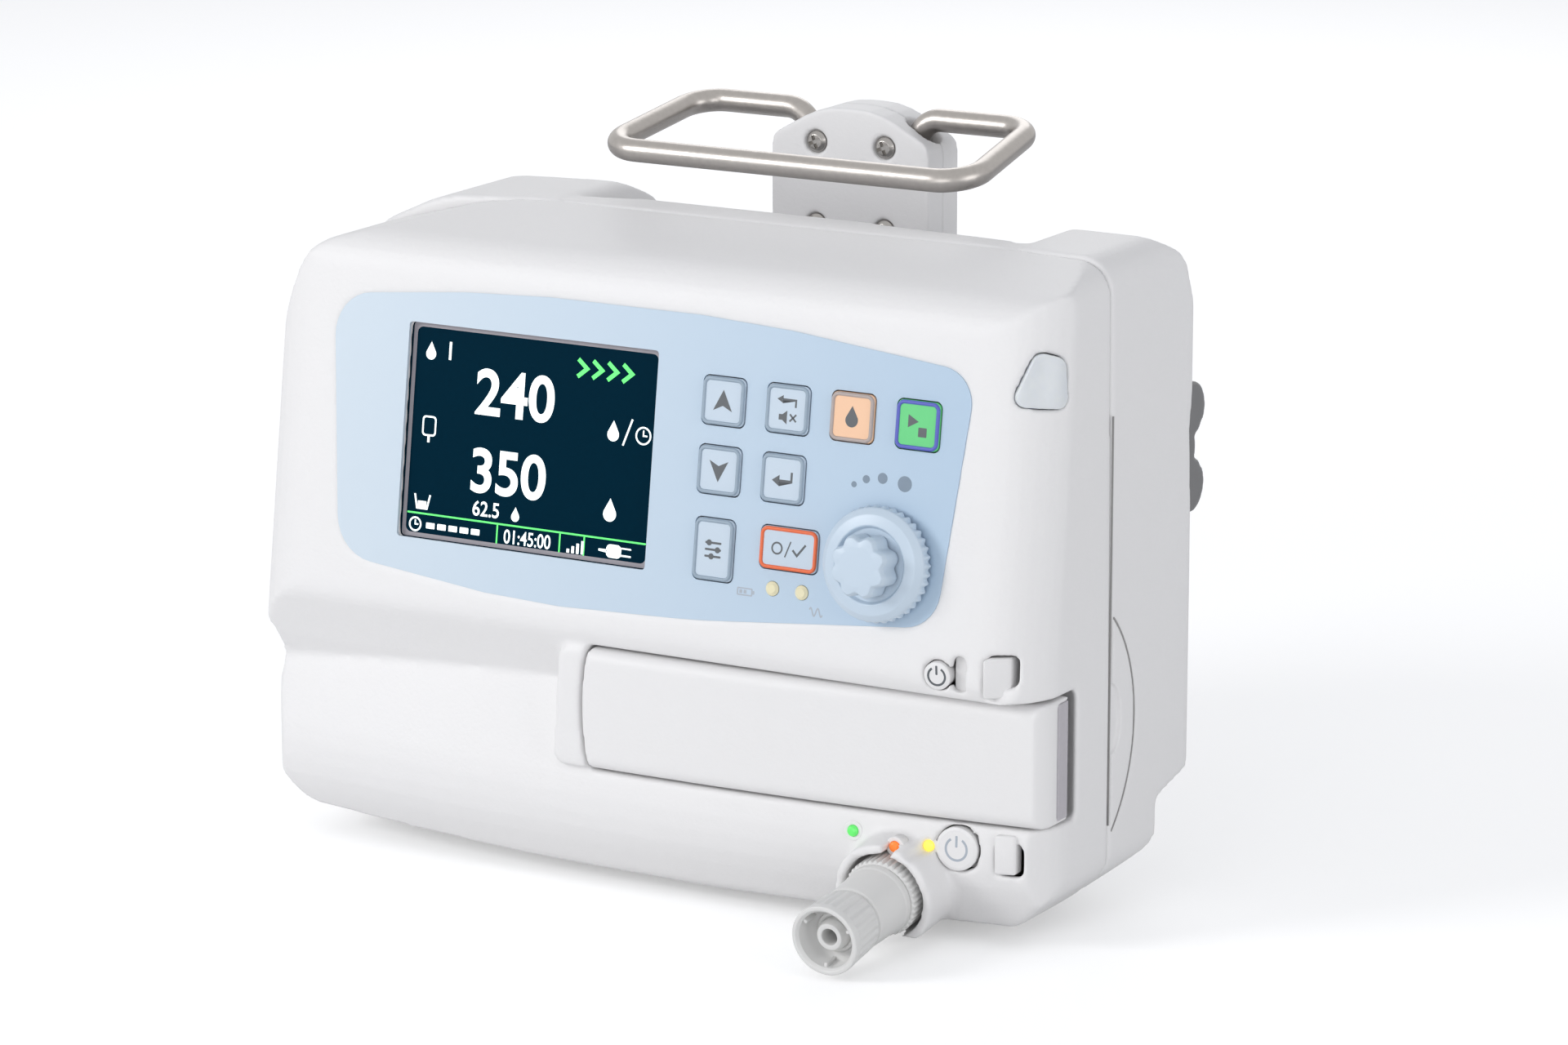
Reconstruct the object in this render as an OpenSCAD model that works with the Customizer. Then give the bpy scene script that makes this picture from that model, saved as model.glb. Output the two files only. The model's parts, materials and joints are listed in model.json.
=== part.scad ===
// Bench and pole infusion pump: moulded two-part housing, sloped control panel with keys and a
// jog dial, side-hinged pump door with a finger pump behind it, line nozzle, rod handle and pole clamp.
// X runs to the right seen from the front, Y to the back, Z up. Z = 0 is the surface it stands on.

/* [Housing] */
// Width of the housing
body_w = 230; // [210:1:280]
// Height of the crest of the housing
crest_z = 170; // [166:1:205]
// Depth of the housing to the back of its horns
body_d = 93; // [84:1:112]
// Distance from the front lobe to the seam between the two shells
seam_y = 43.5; // [40:0.5:54]
// Wall of the moulded shells
wall = 2.5; // [2:0.1:3]
// Radius of the bow of the lower front in plan
bow_r = 900; // [700:10:1200]
// Radius of the upright front corners
corner_r = 18; // [10:1:24]
// Height of the underside above the standing surface
base_z = 4; // [3:0.5:6]
// Length of each rubber foot rail
foot_l = 32; // [26:1:36]
// Width of each rubber foot rail
foot_w = 14; // [10:1:20]

/* [Control panel] */
// Lean of the panel away from upright
panel_tilt = 8; // [4:1:10]
// Thickness of the panel skin
skin_t = 0.8; // [0.5:0.1:1.2]
// Width of the display opening
screen_w = 74; // [60:1:78]
// Height of the display opening
screen_h = 55; // [44:1:58]
// Size of a square key
key_w = 12; // [9:0.5:13]
// Distance between key columns
key_pitch = 18.2; // [16:0.1:19]
// Distance between key rows
row_pitch = 17; // [15:0.1:18]
// Clear gap round each key
key_gap = 0.3; // [0.2:0.05:0.6]
// Diameter of the jog ring
jog_ring_d = 29; // [24:0.5:34]
// Diameter of the jog knob
jog_knob_d = 16; // [12:0.5:19]
// Diameter of the jog ring's hollow shaft
jog_tube_d = 10; // [8:0.5:12]
// Diameter of the jog knob's shaft
jog_shaft_d = 6; // [5:0.25:6.5]
// Radial clearance of every running fit
fit = 0.05; // [0.02:0.01:0.08]

/* [Pump door] */
// Height of the door
door_h = 31.4; // [28:0.2:34]
// Height of the door's middle
door_z = 48.8; // [47:0.2:51]
// Left end of the door
door_x = -12.4; // [-20:0.2:0]
// Gap round the door
door_gap = 0.7; // [0.5:0.1:1]
// Diameter of the hinge pin
hinge_d = 4; // [3:0.25:5]
// Distance from the housing's right side to the hinge
hinge_in = 10.5; // [9.5:0.1:12]
// Number of pump fingers
finger_n = 12; // [8:1:12]
// Distance from finger to finger
finger_pitch = 4; // [3.6:0.1:4.2]
// Lift of each cam
cam_lift = 1.2; // [0.8:0.1:1.5]
// Module of the drive gears
gear_module = 1; // [0.8:0.05:1.1]
// Teeth of the cam gear
gear_teeth = 24; // [20:1:26]
// Teeth of the motor pinion
pinion_teeth = 12; // [10:1:14]

/* [Nozzle] */
// Outer diameter of the nozzle barrel
nozzle_d = 14; // [12:0.5:16]
// Length of the nozzle from the housing
nozzle_l = 34; // [28:1:40]
// Fall of the nozzle from level
nozzle_tilt = 7; // [0:1:10]
// Outer diameter of the ribbed collar
collar_d = 18; // [16:0.5:19]
// Length of the ribbed collar
collar_l = 13; // [10:0.5:15]

/* [Handle] */
// Diameter of the handle rod
rod_d = 6; // [5:0.5:8]
// Overall width of the handle at the front
handle_w = 111.5; // [96:0.5:134]
// Overall width of the handle at the back
handle_back_w = 103.6; // [90:0.2:125]
// Reach of the handle from back to front
handle_reach = 43; // [34:1:52]
// Width of the handle bracket
bracket_w = 46; // [42:1:56]
// Thickness of the handle bracket
bracket_t = 16; // [14:1:20]
// Height of the top of the bracket
bracket_z = 192; // [188:1:230]
// Distance between the bracket screws, side to side
screw_dx = 20; // [16:0.5:22]
// Distance between the bracket screws, up and down
screw_dz = 21.5; // [16:0.5:22]

/* [Pole clamp] */
// Diameter of the pole that the saddle is cut for
pole_d = 25; // [20:1:30]
// Radial clearance between saddle and pole
pole_gap = 0.1; // [0.05:0.05:0.3]
// Room beyond the pole's diameter with the clamp open
clamp_slack = 5.5; // [4:0.5:8]
// Travel of the pressure pad
clamp_travel = 14; // [10:1:16]
// Finger room between the arm and the knob with the clamp closed
clamp_knob_room = 13; // [8:0.5:16]
// Height of the clamp's axis
clamp_z = 104; // [98:1:112]
// Outer diameter of the clamp spindle
spindle_d = 10; // [8:0.5:12]
// Height over the lobes of the clamp knob
clamp_knob_h = 34.7; // [28:0.1:38]
// Thickness of the clamp knob
clamp_knob_t = 16; // [12:1:18]

/* [Hidden] */

$fn = 48;
EPS = 0.02;
seat_gap = 0.1;
far = 400;

// Places that several pieces share
half_w = body_w / 2;
panel_y = 1;
panel_z = 76;
side_dz = crest_z - 170;
pinch_z = 54;
valley_y = seam_y + 8.5;
cheek_x = half_w - 45;
plan_w = half_w + 0.05;
lobe_z = 69;
screen_at = [-31.5, 113.8];
key_col = 25.1;
key_row = 130.6;
jog_at = [72.4, 96.3];
key_board_at = [54, 112];
lamp_z = 86.5;
lamp_x = [42.4, 50.7];
hinge_x = half_w - hinge_in;
hinge_y = 17;
hinge_well = 13;
door_back = 13;
latch_y = 7.5;
cheek_y = 21.5;
chassis_y = 19;
chassis_t = 2.5;
track_x = 49;
tip_y = 17.5;
lamp_board_y = 16.6;
cam_y = 36;
cam_r = 5;
shaft_d = 6;
finger_back = cam_y - cam_r - cam_lift - 0.3;
gear_x = 5;
gear_t = 4;
gear_gap = (gear_teeth + pinion_teeth) * gear_module / 2;
motor_z = door_z + gear_gap;
motor_d = 22;
motor_shaft_d = 3;
nozzle_at = [76.5, 2, 14.6];
power_upper = [half_w - 25.5, 71];
power_lower = [half_w - 23, 26];
alarm_z = crest_z - 26;
status_at = [[64.2, 27.2], [78.4, 26.3], [84.4, 25.8]];
bracket_x = 18.5;
bracket_foot = 150;
bracket_y = 91;
rod_z = 190 + bracket_z - 192;
rod_drop = 7;
spine_y = 97;
plate_t = 4;
pole_y = 116;
saddle_r = pole_d / 2 + pole_gap;
pole_x = bracket_x;
saddle_x = pole_x - saddle_r;
pad_x = saddle_x + pole_d + clamp_slack;
jaw_tip_x = saddle_x + clamp_slack - 0.6;
pad_t = 6;
arm_x = pad_x + pad_t + 1;
arm_t = 10;
clamp_knob_x = arm_x + arm_t + clamp_travel + clamp_knob_room;
cover_r = 37.5;
cover_z = 51.5;
cover_y = seam_y + 1.5;
cover_bulge = 12;
boss_r = 4.5;
screw_upper = [half_w - 19, 150];
screw_lower = [57, 21];
step_y = body_d - 23;
front_y = nozzle_at[1] - nozzle_l * cos(nozzle_tilt) - 1.1;
back_y = pole_y + clamp_knob_h / 2;

// The model's origin is under the middle of its overall depth
module place() {
    translate([0, -(front_y + back_y) / 2, 0]) children();
}

// ---- outlines with rounded corners: each point is [x, y, radius] ----
function unit(v) = v / norm(v);
function corner(p, q, s, r) =
    r <= 0 ? [q] :
    let (u = unit(p - q), v = unit(s - q), half = acos(u * v) / 2, sweep = 180 - 2 * half)
    let (c = q + unit(u + v) * r / sin(half), from = q + u * r / tan(half) - c, to = q + v * r / tan(half) - c)
    let (n = max(1, ceil(sweep / 12)))
    [for (i = [0 : n]) c + (sin((1 - i / n) * sweep) * from + sin(i / n * sweep) * to) / sin(sweep)];
function xy(p) = [p[0], p[1]];
function rounded(pts) = [
    for (i = [0 : len(pts) - 1])
        each corner(xy(pts[(i + len(pts) - 1) % len(pts)]), xy(pts[i]),
                    xy(pts[(i + 1) % len(pts)]), pts[i][2])];
module outline(pts, inset = 0) {
    offset(delta = -inset) polygon(rounded(pts));
}
module rounded_box(w, h, r) {
    polygon(rounded([[-w / 2, -h / 2, r], [w / 2, -h / 2, r], [w / 2, h / 2, r], [-w / 2, h / 2, r]]));
}

// Extrusions of the side, front and plan views
module along_x(x0, x1) {
    translate([x0, 0, 0]) rotate([90, 0, 90]) linear_extrude(x1 - x0) children();
}
module along_y(y0, y1) {
    translate([0, y1, 0]) rotate([90, 0, 0]) linear_extrude(y1 - y0) children();
}
module along_z(z0, z1) {
    translate([0, 0, z0]) linear_extrude(z1 - z0) children();
}
module rod(p, q, d) {
    v = q - p;
    translate(p) rotate([0, acos(v[2] / norm(v)), atan2(v[1], v[0])]) cylinder(d = d, h = norm(v));
}
module cuboid(lo, hi) {
    translate(lo) cube(hi - lo);
}

// ---- places on the object ----
function panel_face(z) = panel_y + (z - panel_z) * tan(panel_tilt);
module on_panel(x, z) {
    translate([x, panel_face(z), z]) rotate([90 - panel_tilt, 0, 0]) children();
}
module on_front(x, y, z) {
    translate([x, y, z]) rotate([90, 0, 0]) children();
}
module on_nozzle() {
    translate(nozzle_at) rotate([90 + nozzle_tilt, 0, 0]) children();
}
function bow(x) = bow_r - sqrt(bow_r * bow_r - x * x);

// ---- the housing's form ----
module upper_side(inset) {
    outline([[14, 48, 0], [9.5, pinch_z, 0], [0, lobe_z, 8],
             [panel_face(161), 161, 12], [panel_face(161) + 34, crest_z, 30],
             [body_d + 40, crest_z, 0], [body_d + 40, 48, 0]], inset);
}
module lower_side(inset) {
    offset(delta = -inset)
        polygon([for (p = rounded([[11, base_z - 1, 7], [0, 21, 22], [9.5, pinch_z + 1, 0],
                                   [body_d + 60, pinch_z + 1, 0], [body_d + 60, base_z - 1, 0]]))
                 [bow_r - p[0], p[1]]]);
}
module leaning() {
    translate([0, panel_y, panel_z]) rotate([-panel_tilt, 0, 0]) children();
}
module front_mass(inset) {
    intersection() {
        along_x(-far, far) upper_side(inset);
        leaning() along_z(-far / 2, far / 2)
            outline([[-plan_w, 0, corner_r], [plan_w, 0, corner_r], [plan_w, far, 0], [-plan_w, far, 0]], inset);
    }
    intersection() {
        translate([0, bow_r, 0])
            rotate([0, 0, -100])
                rotate_extrude(angle = 20, $fn = 360) lower_side(inset);
        along_z(-20, far)
            outline([[-plan_w, 6, corner_r], [-cheek_x, 0, 0], [-cheek_x, -20, 0],
                     [cheek_x, -20, 0], [cheek_x, 0, 0], [plan_w, 6, corner_r],
                     [plan_w, far, 0], [-plan_w, far, 0]], inset);
    }
}
module rear_side(inset) {
    outline([[-60, base_z - 1, 0], [20, base_z - 1, 0], [seam_y, 7.5, 20],
             [step_y, 14.5, 4], [step_y, 26.4, 3], [body_d, 31.8, 6],
             [body_d - 5.5, 119, 20], [body_d, 142 + side_dz, 9], [body_d - 9, crest_z - 6, 8],
             [body_d - 21, crest_z, 16], [-60, crest_z, 0]], inset);
}
module plan_view(inset) {
    outline([[-plan_w, -40, 0], [plan_w, -40, 0],
             [plan_w, body_d, 8], [-plan_w, body_d, 8]], inset);
}
module front_view(inset) {
    outline([[-half_w + 9, 8, 9], [-half_w, 22, 14], [-half_w + 3.5, pinch_z, 10],
             [-half_w, lobe_z, 10], [-half_w + 2, crest_z - 36, 22], [-half_w + 14, crest_z - 12, 16],
             [-62, crest_z - 1.8, 60], [-10, crest_z + 0.8, 300], [70, crest_z - 0.4, 200],
             [half_w - 1, crest_z - 2, 9], [half_w, 60, 0], [half_w, 15, 9],
             [half_w - 11, base_z + 1, 8], [-10, base_z - 0.6, 900]], inset);
}
module horn_view(inset) {
    outline([[-half_w + 9, 8, 9], [-half_w, 22, 14], [-half_w + 3.5, pinch_z, 10],
             [-half_w, lobe_z, 10], [-half_w + 3, crest_z - 36, 22], [-half_w + 14, crest_z - 12, 16],
             [-80, crest_z - 2.5, 30], [-42, crest_z, 8], [-34, bracket_foot, 6], [74, bracket_foot, 6],
             [84, crest_z, 12], [half_w - 1, crest_z - 1, 9], [half_w, 60, 0], [half_w, 15, 9],
             [half_w - 11, base_z + 1, 8], [-10, base_z - 0.6, 900]], inset);
}
module shell_form(inset) {
    intersection() {
        front_mass(inset);
        along_x(-far, far) rear_side(inset);
        along_z(-20, crest_z + 20) plan_view(inset);
        children();
    }
}
module front_form(inset = 0, y1 = seam_y) {
    shell_form(inset) along_y(-40, y1) front_view(inset);
}
module rear_form(inset = 0, y0 = seam_y) {
    shell_form(inset) union() {
        along_y(y0, valley_y - inset) front_view(inset);
        along_y(seam_y + inset, body_d + 20) horn_view(inset);
    }
}

// ---- outlines on the panel, in panel coordinates [x, height above panel_z] ----
module panel_outline(grow = 0) {
    lean = 1 / cos(panel_tilt);
    offset(delta = grow)
        polygon([for (p = rounded([[-91.8, 70, 11], [-86, 4, 12], [-30, -1.8, 160], [20, 0, 160],
                                   [88, 6.4, 10], [94.6, 68.5, 9], [30, 75, 260], [-40, 75, 260]]))
                 [p[0], p[1] * lean]]);
}
module panel_slab(z0, z1, grow = 0) {
    on_panel(0, panel_z) translate([0, 0, z0]) linear_extrude(z1 - z0) panel_outline(grow);
}

// ---- control keys ----
function key_place(name) =
    name == "up" ? [0, 0, key_w, key_w] :
    name == "back" ? [1, 0, key_w, key_w] :
    name == "purge" ? [2, 0, key_w, key_w] :
    name == "start" ? [3, 0, key_w, key_w] :
    name == "down" ? [0, 1, key_w, key_w] :
    name == "enter" ? [1, 1, key_w, key_w] :
    name == "mode" ? [0, 2.15, key_w - 0.8, key_w + 3.4] :
    [1.17, 2, key_w + 4.2, key_w - 1.4];
KEY_NAMES = ["up", "down", "back", "enter", "mode", "ok", "purge", "start"];
key_top = 0.6;
key_foot = -6.4;
key_flange = 1;
board_face = -8.4;
dome_h = 1.1;
module at_key(k) {
    on_panel(key_col + k[0] * key_pitch, key_row - k[1] * row_pitch) children();
}
module key_hole(k) {
    at_key(k) translate([0, 0, -20]) linear_extrude(30)
        rounded_box(k[2] + 2 * key_gap, k[3] + 2 * key_gap, 1.8);
}
module panel_key(name) {
    k = key_place(name);
    at_key(k) {
        translate([0, 0, key_foot]) linear_extrude(key_top - key_foot - 0.3)
            rounded_box(k[2], k[3], 1.6);
        translate([0, 0, key_top - 0.35]) linear_extrude(0.35)
            rounded_box(k[2] - 0.8, k[3] - 0.8, 1.3);
        translate([0, 0, -skin_t - wall - 0.2 - key_flange]) linear_extrude(key_flange)
            rounded_box(k[2] + 2, k[3] + 2, 2);
    }
}

// ---- the front shell ----
pocket_lo = door_z - door_h / 2 - door_gap;
pocket_hi = door_z + door_h / 2 + door_gap;
module door_end(x) {
    translate([x + 70, door_z]) circle(r = 70, $fn = 180);
}
module door_pocket(grow = 0) {
    intersection() {
        along_y(-30, chassis_y - EPS) {
            intersection() {
                door_end(door_x - door_gap - grow);
                translate([door_x - 20, pocket_lo - grow])
                    square([half_w - door_x + 60, pocket_hi - pocket_lo + 2 * grow]);
            }
        }
        cuboid([-far, -40, 0], [hinge_x + 2, far, far]);
    }
    cuboid([hinge_x, -30, pocket_lo - grow], [half_w + 20, cheek_y + 4, pocket_hi + grow]);
    translate([hinge_x, hinge_y, pocket_lo - grow])
        cylinder(r = hinge_well + grow, h = pocket_hi - pocket_lo + 2 * grow);
}
module hinge_lug(z0, z1) {
    intersection() {
        cuboid([hinge_x - 6, 4, z0], [hinge_x + 6, hinge_y + 6, z1]);
        front_form(0.6);
    }
}
module knuckle_window(z0, z1) {
    cuboid([hinge_x - 2.6, -10, z0], [hinge_x + 4.4, hinge_y + 5, z1]);
    cuboid([hinge_x - 11, -10, (z0 + z1) / 2 - 4.5], [hinge_x - 7.6, 14, (z0 + z1) / 2 + 4.5]);
}
module latch_boss() {
    intersection() {
        difference() {
            along_y(-20, 16)
                polygon(rounded([[door_x - 9, pocket_lo + 1, 3], [door_x + 4, pocket_lo + 1, 0],
                                 [door_x + 4, pocket_hi - 1, 0], [door_x - 7, pocket_hi - 1, 3]]));
            door_pocket();
        }
        translate([0, bow_r, 0]) cylinder(r = bow_r - 0.8, h = far, $fn = 360);
    }
}
module nozzle_hood() {
    intersection() {
        on_nozzle() translate([0, 0, -12]) difference() {
            cylinder(r = 13.4, h = 17);
            translate([0, 0, -1]) cylinder(r = 11, h = 20);
        }
        cuboid([-far, -20, base_z], [far, 16, 40]);
    }
}
module screw_boss(x, z, y0, y1) {
    rod([x, y0, z], [x, y1, z], 2 * boss_r);
}
module front_housing() {
    color("whitesmoke") place() difference() {
        union() {
            difference() {
                front_form();
                difference() {
                    front_form(wall, seam_y + 5);
                    door_pocket(wall);
                    on_panel(screen_at[0], screen_at[1]) translate([0, 0, -7.5])
                        linear_extrude(10) rounded_box(screen_w + 12, screen_h + 12, 3);
                    on_panel(jog_at[0], jog_at[1]) translate([0, 0, -6]) cylinder(d = 18, h = 10);
                    on_nozzle() translate([0, 0, -12]) cylinder(r = 13.4, h = 18);
                    hinge_lug(pocket_hi, pocket_hi + 5);
                    hinge_lug(pocket_lo - 5, pocket_lo);
                    for (x = [-1, 1]) screw_boss(x * screw_upper[0], screw_upper[1], 8, seam_y + 6);
                    for (x = [-1, 1]) screw_boss(x * screw_lower[0], screw_lower[1], 4, seam_y + 6);
                }
            }
            latch_boss();
            nozzle_hood();
        }
        door_pocket();
        difference() {
            union() {
                knuckle_window(pocket_hi + 1, pocket_hi + 12);
                knuckle_window(pocket_lo - 12, pocket_lo - 1);
            }
            hinge_lug(pocket_hi, pocket_hi + 4);
            hinge_lug(pocket_lo - 4, pocket_lo);
        }
        translate([hinge_x, hinge_y, pocket_lo - 8])
            cylinder(d = hinge_d + 2 * fit, h = door_h + 18);
        panel_slab(-skin_t, 12, 0.15);
        on_panel(screen_at[0], screen_at[1]) {
            translate([0, 0, -30]) linear_extrude(40) rounded_box(screen_w, screen_h, 1);
            translate([0, 0, -30]) linear_extrude(30 - skin_t - 1.4)
                rounded_box(screen_w + 4.3, screen_h + 4.3, 1);
        }
        for (n = KEY_NAMES) key_hole(key_place(n));
        on_panel(jog_at[0], jog_at[1]) translate([0, 0, -20]) cylinder(d = jog_tube_d + 2 * fit, h = 30);
        for (x = lamp_x) on_panel(x, lamp_z) translate([0, 0, -20]) cylinder(d = 3.6 + 0.2, h = 30);
        for (p = status_at) on_front(p[0], lamp_board_y, p[1]) cylinder(d = 3 + 0.2, h = 30);
        on_front(power_upper[0], 14, power_upper[1]) cylinder(d = 7 + 2 * key_gap, h = 30);
        on_front(power_lower[0], 16, power_lower[1]) cylinder(d = 11 + 2 * key_gap, h = 30);
        on_nozzle() translate([0, 0, -8]) cylinder(r = 10.2, h = 60);
        alarm_prism(0.15);
        for (x = [-1, 1]) {
            rod([x * screw_upper[0], 26, screw_upper[1]], [x * screw_upper[0], seam_y + 5, screw_upper[1]], 2.5);
            rod([x * screw_lower[0], 26, screw_lower[1]], [x * screw_lower[0], seam_y + 5, screw_lower[1]], 2.5);
        }
    }
}

// ---- the rear shell ----
board_t = 1.6;
supply_y = 62;
logic_y = 68;
supply_posts = [[-102, 36], [-52, 36], [-102, 74], [-52, 74]];
logic_posts = [[-94, 92], [-94, 138], [8, 92], [8, 138]];
module cover_outline(grow = 0) {
    intersection() {
        translate([cover_y + cover_bulge - cover_r, cover_z]) circle(r = cover_r + grow, $fn = 120);
        translate([cover_y - grow, cover_z - cover_r]) square([cover_r, 2 * cover_r]);
    }
}
module spine(grow = 0) {
    cuboid([bracket_x - bracket_w / 2 - 2 - grow, body_d - 12, 78 - grow],
           [arm_x + arm_t + grow, spine_y, bracket_foot]);
}
module rear_housing() {
    color("whitesmoke") place() difference() {
        union() {
            difference() {
                rear_form();
                difference() {
                    rear_form(wall, seam_y - 5);
                    along_x(half_w - 6.5, half_w + 5) cover_outline(3);
                    for (x = [-1, 1]) screw_boss(x * screw_upper[0], screw_upper[1], seam_y, body_d + 5);
                    for (x = [-1, 1]) screw_boss(x * screw_lower[0], screw_lower[1], seam_y, step_y);
                    for (p = supply_posts) rod([p[0], supply_y + board_t, p[1]], [p[0], far, p[1]], 6);
                    for (p = logic_posts) rod([p[0], logic_y + board_t, p[1]], [p[0], far, p[1]], 6);
                    cuboid([bracket_x - bracket_w / 2 - 2, body_d - 12, 78],
                           [arm_x + arm_t, body_d + 5, bracket_foot + 1]);
                }
            }
            spine();
        }
        along_x(half_w - 2, half_w + 5) cover_outline(0.15);
        along_x(half_w - 20, half_w + 5) cover_outline(-1.8);
        for (x = [-1, 1]) {
            rod([x * screw_upper[0], seam_y - 5, screw_upper[1]], [x * screw_upper[0], far, screw_upper[1]], 3.4);
            rod([x * screw_upper[0], seam_y + 12, screw_upper[1]], [x * screw_upper[0], far, screw_upper[1]], 6.6);
            rod([x * screw_lower[0], seam_y - 5, screw_lower[1]], [x * screw_lower[0], far, screw_lower[1]], 3.4);
            rod([x * screw_lower[0], seam_y + 12, screw_lower[1]], [x * screw_lower[0], far, screw_lower[1]], 6.6);
        }
        translate([inlet_at[0], 0, inlet_at[1]])
            along_y(body_d - 20, body_d + 10) rounded_box(inlet_w + 0.3, inlet_h + 0.3, 3);
        for (x = [-1, 1]) for (z = [-1, 1])
            rod([clamp_mid + x * clamp_dx / 2, spine_y - 9, clamp_z + z * clamp_dz / 2],
                [clamp_mid + x * clamp_dx / 2, far, clamp_z + z * clamp_dz / 2], 3.3);
    }
}

// ---- panel pieces ----
module panel_skin() {
    color("lightsteelblue") place() difference() {
        panel_slab(-skin_t, 0);
        on_panel(screen_at[0], screen_at[1]) translate([0, 0, -5]) linear_extrude(10)
            rounded_box(screen_w, screen_h, 1);
        for (n = KEY_NAMES) key_hole(key_place(n));
        on_panel(jog_at[0], jog_at[1]) translate([0, 0, -5]) cylinder(d = jog_tube_d + 1, h = 10);
        for (x = lamp_x) on_panel(x, lamp_z) translate([0, 0, -5]) cylinder(d = 3.6 + 0.2, h = 10);
    }
}
module display_window() {
    color("midnightblue") place() on_panel(screen_at[0], screen_at[1])
        translate([0, 0, -skin_t - 1.4 - 1.2]) linear_extrude(1.2) rounded_box(screen_w + 4, screen_h + 4, 1);
}
module display_module() {
    color("darkslategray") place() on_panel(screen_at[0], screen_at[1]) {
        translate([0, 0, -8]) linear_extrude(8 - skin_t - 2.6) rounded_box(screen_w + 4, screen_h + 4, 1);
        translate([0, 0, -9.1]) linear_extrude(1.6) rounded_box(screen_w + 11, screen_h + 11, 2);
    }
}
module key_up() { color("lightsteelblue") place() panel_key("up"); }
module key_down() { color("lightsteelblue") place() panel_key("down"); }
module key_back() { color("lightsteelblue") place() panel_key("back"); }
module key_enter() { color("lightsteelblue") place() panel_key("enter"); }
module key_mode() { color("lightsteelblue") place() panel_key("mode"); }
module key_ok() { color("lightsteelblue") place() panel_key("ok"); }
module key_purge() { color("sandybrown") place() panel_key("purge"); }
module key_start() { color("mediumseagreen") place() panel_key("start"); }
module key_domes() {
    color("gainsboro") place() for (n = KEY_NAMES) at_key(key_place(n))
        translate([0, 0, board_face]) cylinder(d1 = 7, d2 = 4, h = dome_h);
}
module key_board() {
    color("darkgreen") place() difference() {
        on_panel(key_board_at[0], key_board_at[1]) translate([0, 0, board_face - 1.6])
            linear_extrude(1.6) rounded_box(76, 58, 2);
        on_panel(jog_at[0], jog_at[1]) translate([0, 0, -20]) cylinder(d = 20, h = 20);
    }
}

// ---- jog dial, in the panel's local frame ----
ring_z = 0.8;
ring_t = 6;
module serrated(d, n, depth) {
    difference() {
        circle(d = d, $fn = 96);
        for (i = [0 : n - 1]) rotate(i * 360 / n) translate([d / 2 + depth * 0.4, 0]) circle(r = depth, $fn = 16);
    }
}
module jog_ring() {
    color("lightsteelblue") place() on_panel(jog_at[0], jog_at[1]) difference() {
        union() {
            translate([0, 0, ring_z]) cylinder(d = jog_ring_d - 1.2, h = 1);
            translate([0, 0, ring_z + 1]) linear_extrude(ring_t - 2) serrated(jog_ring_d, 36, 0.7);
            translate([0, 0, ring_z + ring_t - 1]) cylinder(d1 = jog_ring_d - 1.2, d2 = jog_ring_d - 3.6, h = 1);
            translate([0, 0, -11]) cylinder(d = jog_tube_d, h = 12 + ring_z);
        }
        translate([0, 0, -12]) cylinder(d = jog_shaft_d + 2 * fit, h = 30);
        translate([0, 0, ring_z + ring_t - 1.4]) cylinder(d = jog_knob_d + 1.4, h = 4);
    }
}
module jog_knob() {
    color("lightsteelblue") place() on_panel(jog_at[0], jog_at[1]) {
        translate([0, 0, ring_z + ring_t - 1.1]) linear_extrude(6.6) difference() {
            circle(d = jog_knob_d, $fn = 64);
            for (i = [0 : 7]) rotate(i * 45 + 22.5) translate([jog_knob_d / 2 + 0.9, 0]) circle(r = 2.1, $fn = 24);
        }
        translate([0, 0, ring_z + ring_t + 5.5 - EPS]) cylinder(d1 = jog_knob_d - 3, d2 = jog_knob_d - 5, h = 0.8);
        translate([0, 0, -15]) cylinder(d = jog_shaft_d, h = 15 + ring_z + ring_t);
    }
}
module jog_encoder() {
    color("silver") place() on_panel(jog_at[0], jog_at[1]) difference() {
        translate([0, 0, -17]) cylinder(d = 19, h = 10.7);
        translate([0, 0, -11.4]) cylinder(d = jog_tube_d + 2 * fit, h = 20);
        translate([0, 0, -15.4]) cylinder(d = jog_shaft_d + 2 * fit, h = 20);
    }
}
module panel_lamps() {
    color("lemonchiffon") place() for (x = lamp_x) on_panel(x, lamp_z) {
        translate([0, 0, board_face + seat_gap]) cylinder(d = 3.6, h = 0.2 - board_face - seat_gap);
        translate([0, 0, 0.2]) cylinder(d1 = 3.6, d2 = 2.2, h = 0.5);
    }
}

// ---- lamps and power buttons round the door ----
module status_lamp(i) {
    p = status_at[i];
    run = lamp_board_y - seat_gap - bow(p[0]);
    on_front(p[0], lamp_board_y - seat_gap, p[1]) {
        cylinder(d = 3, h = run - 0.6);
        translate([0, 0, run - 0.6]) cylinder(d1 = 3, d2 = 1.8, h = 0.6);
    }
}
module status_lamp_green() { color("limegreen") place() status_lamp(0); }
module status_lamp_orange() { color("darkorange") place() status_lamp(1); }
module status_lamp_yellow() { color("gold") place() status_lamp(2); }
module lamp_board() {
    color("darkgreen") place() difference() {
        cuboid([62.5, lamp_board_y, 16], [half_w - 17, lamp_board_y + 1.6, pocket_lo - wall - 0.4]);
        on_nozzle() translate([0, 0, -40]) cylinder(r = 11.6, h = 40);
    }
}
module power_button_upper() {
    color("whitesmoke") place() on_front(power_upper[0], 0, power_upper[1]) {
        translate([0, 0, -10]) cylinder(d = 7, h = 10.4);
        translate([-4.7, -1.8, -11]) cube([9.4, 3.6, 1.5]);
    }
}
module power_button_lower() {
    y = bow(power_lower[0]);
    color("whitesmoke") place() on_front(power_lower[0], y, power_lower[1]) {
        translate([0, 0, -9]) cylinder(d = 11, h = 9.4);
        translate([0, 0, -9.6]) cylinder(d = 6, h = 1);
    }
}
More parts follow.
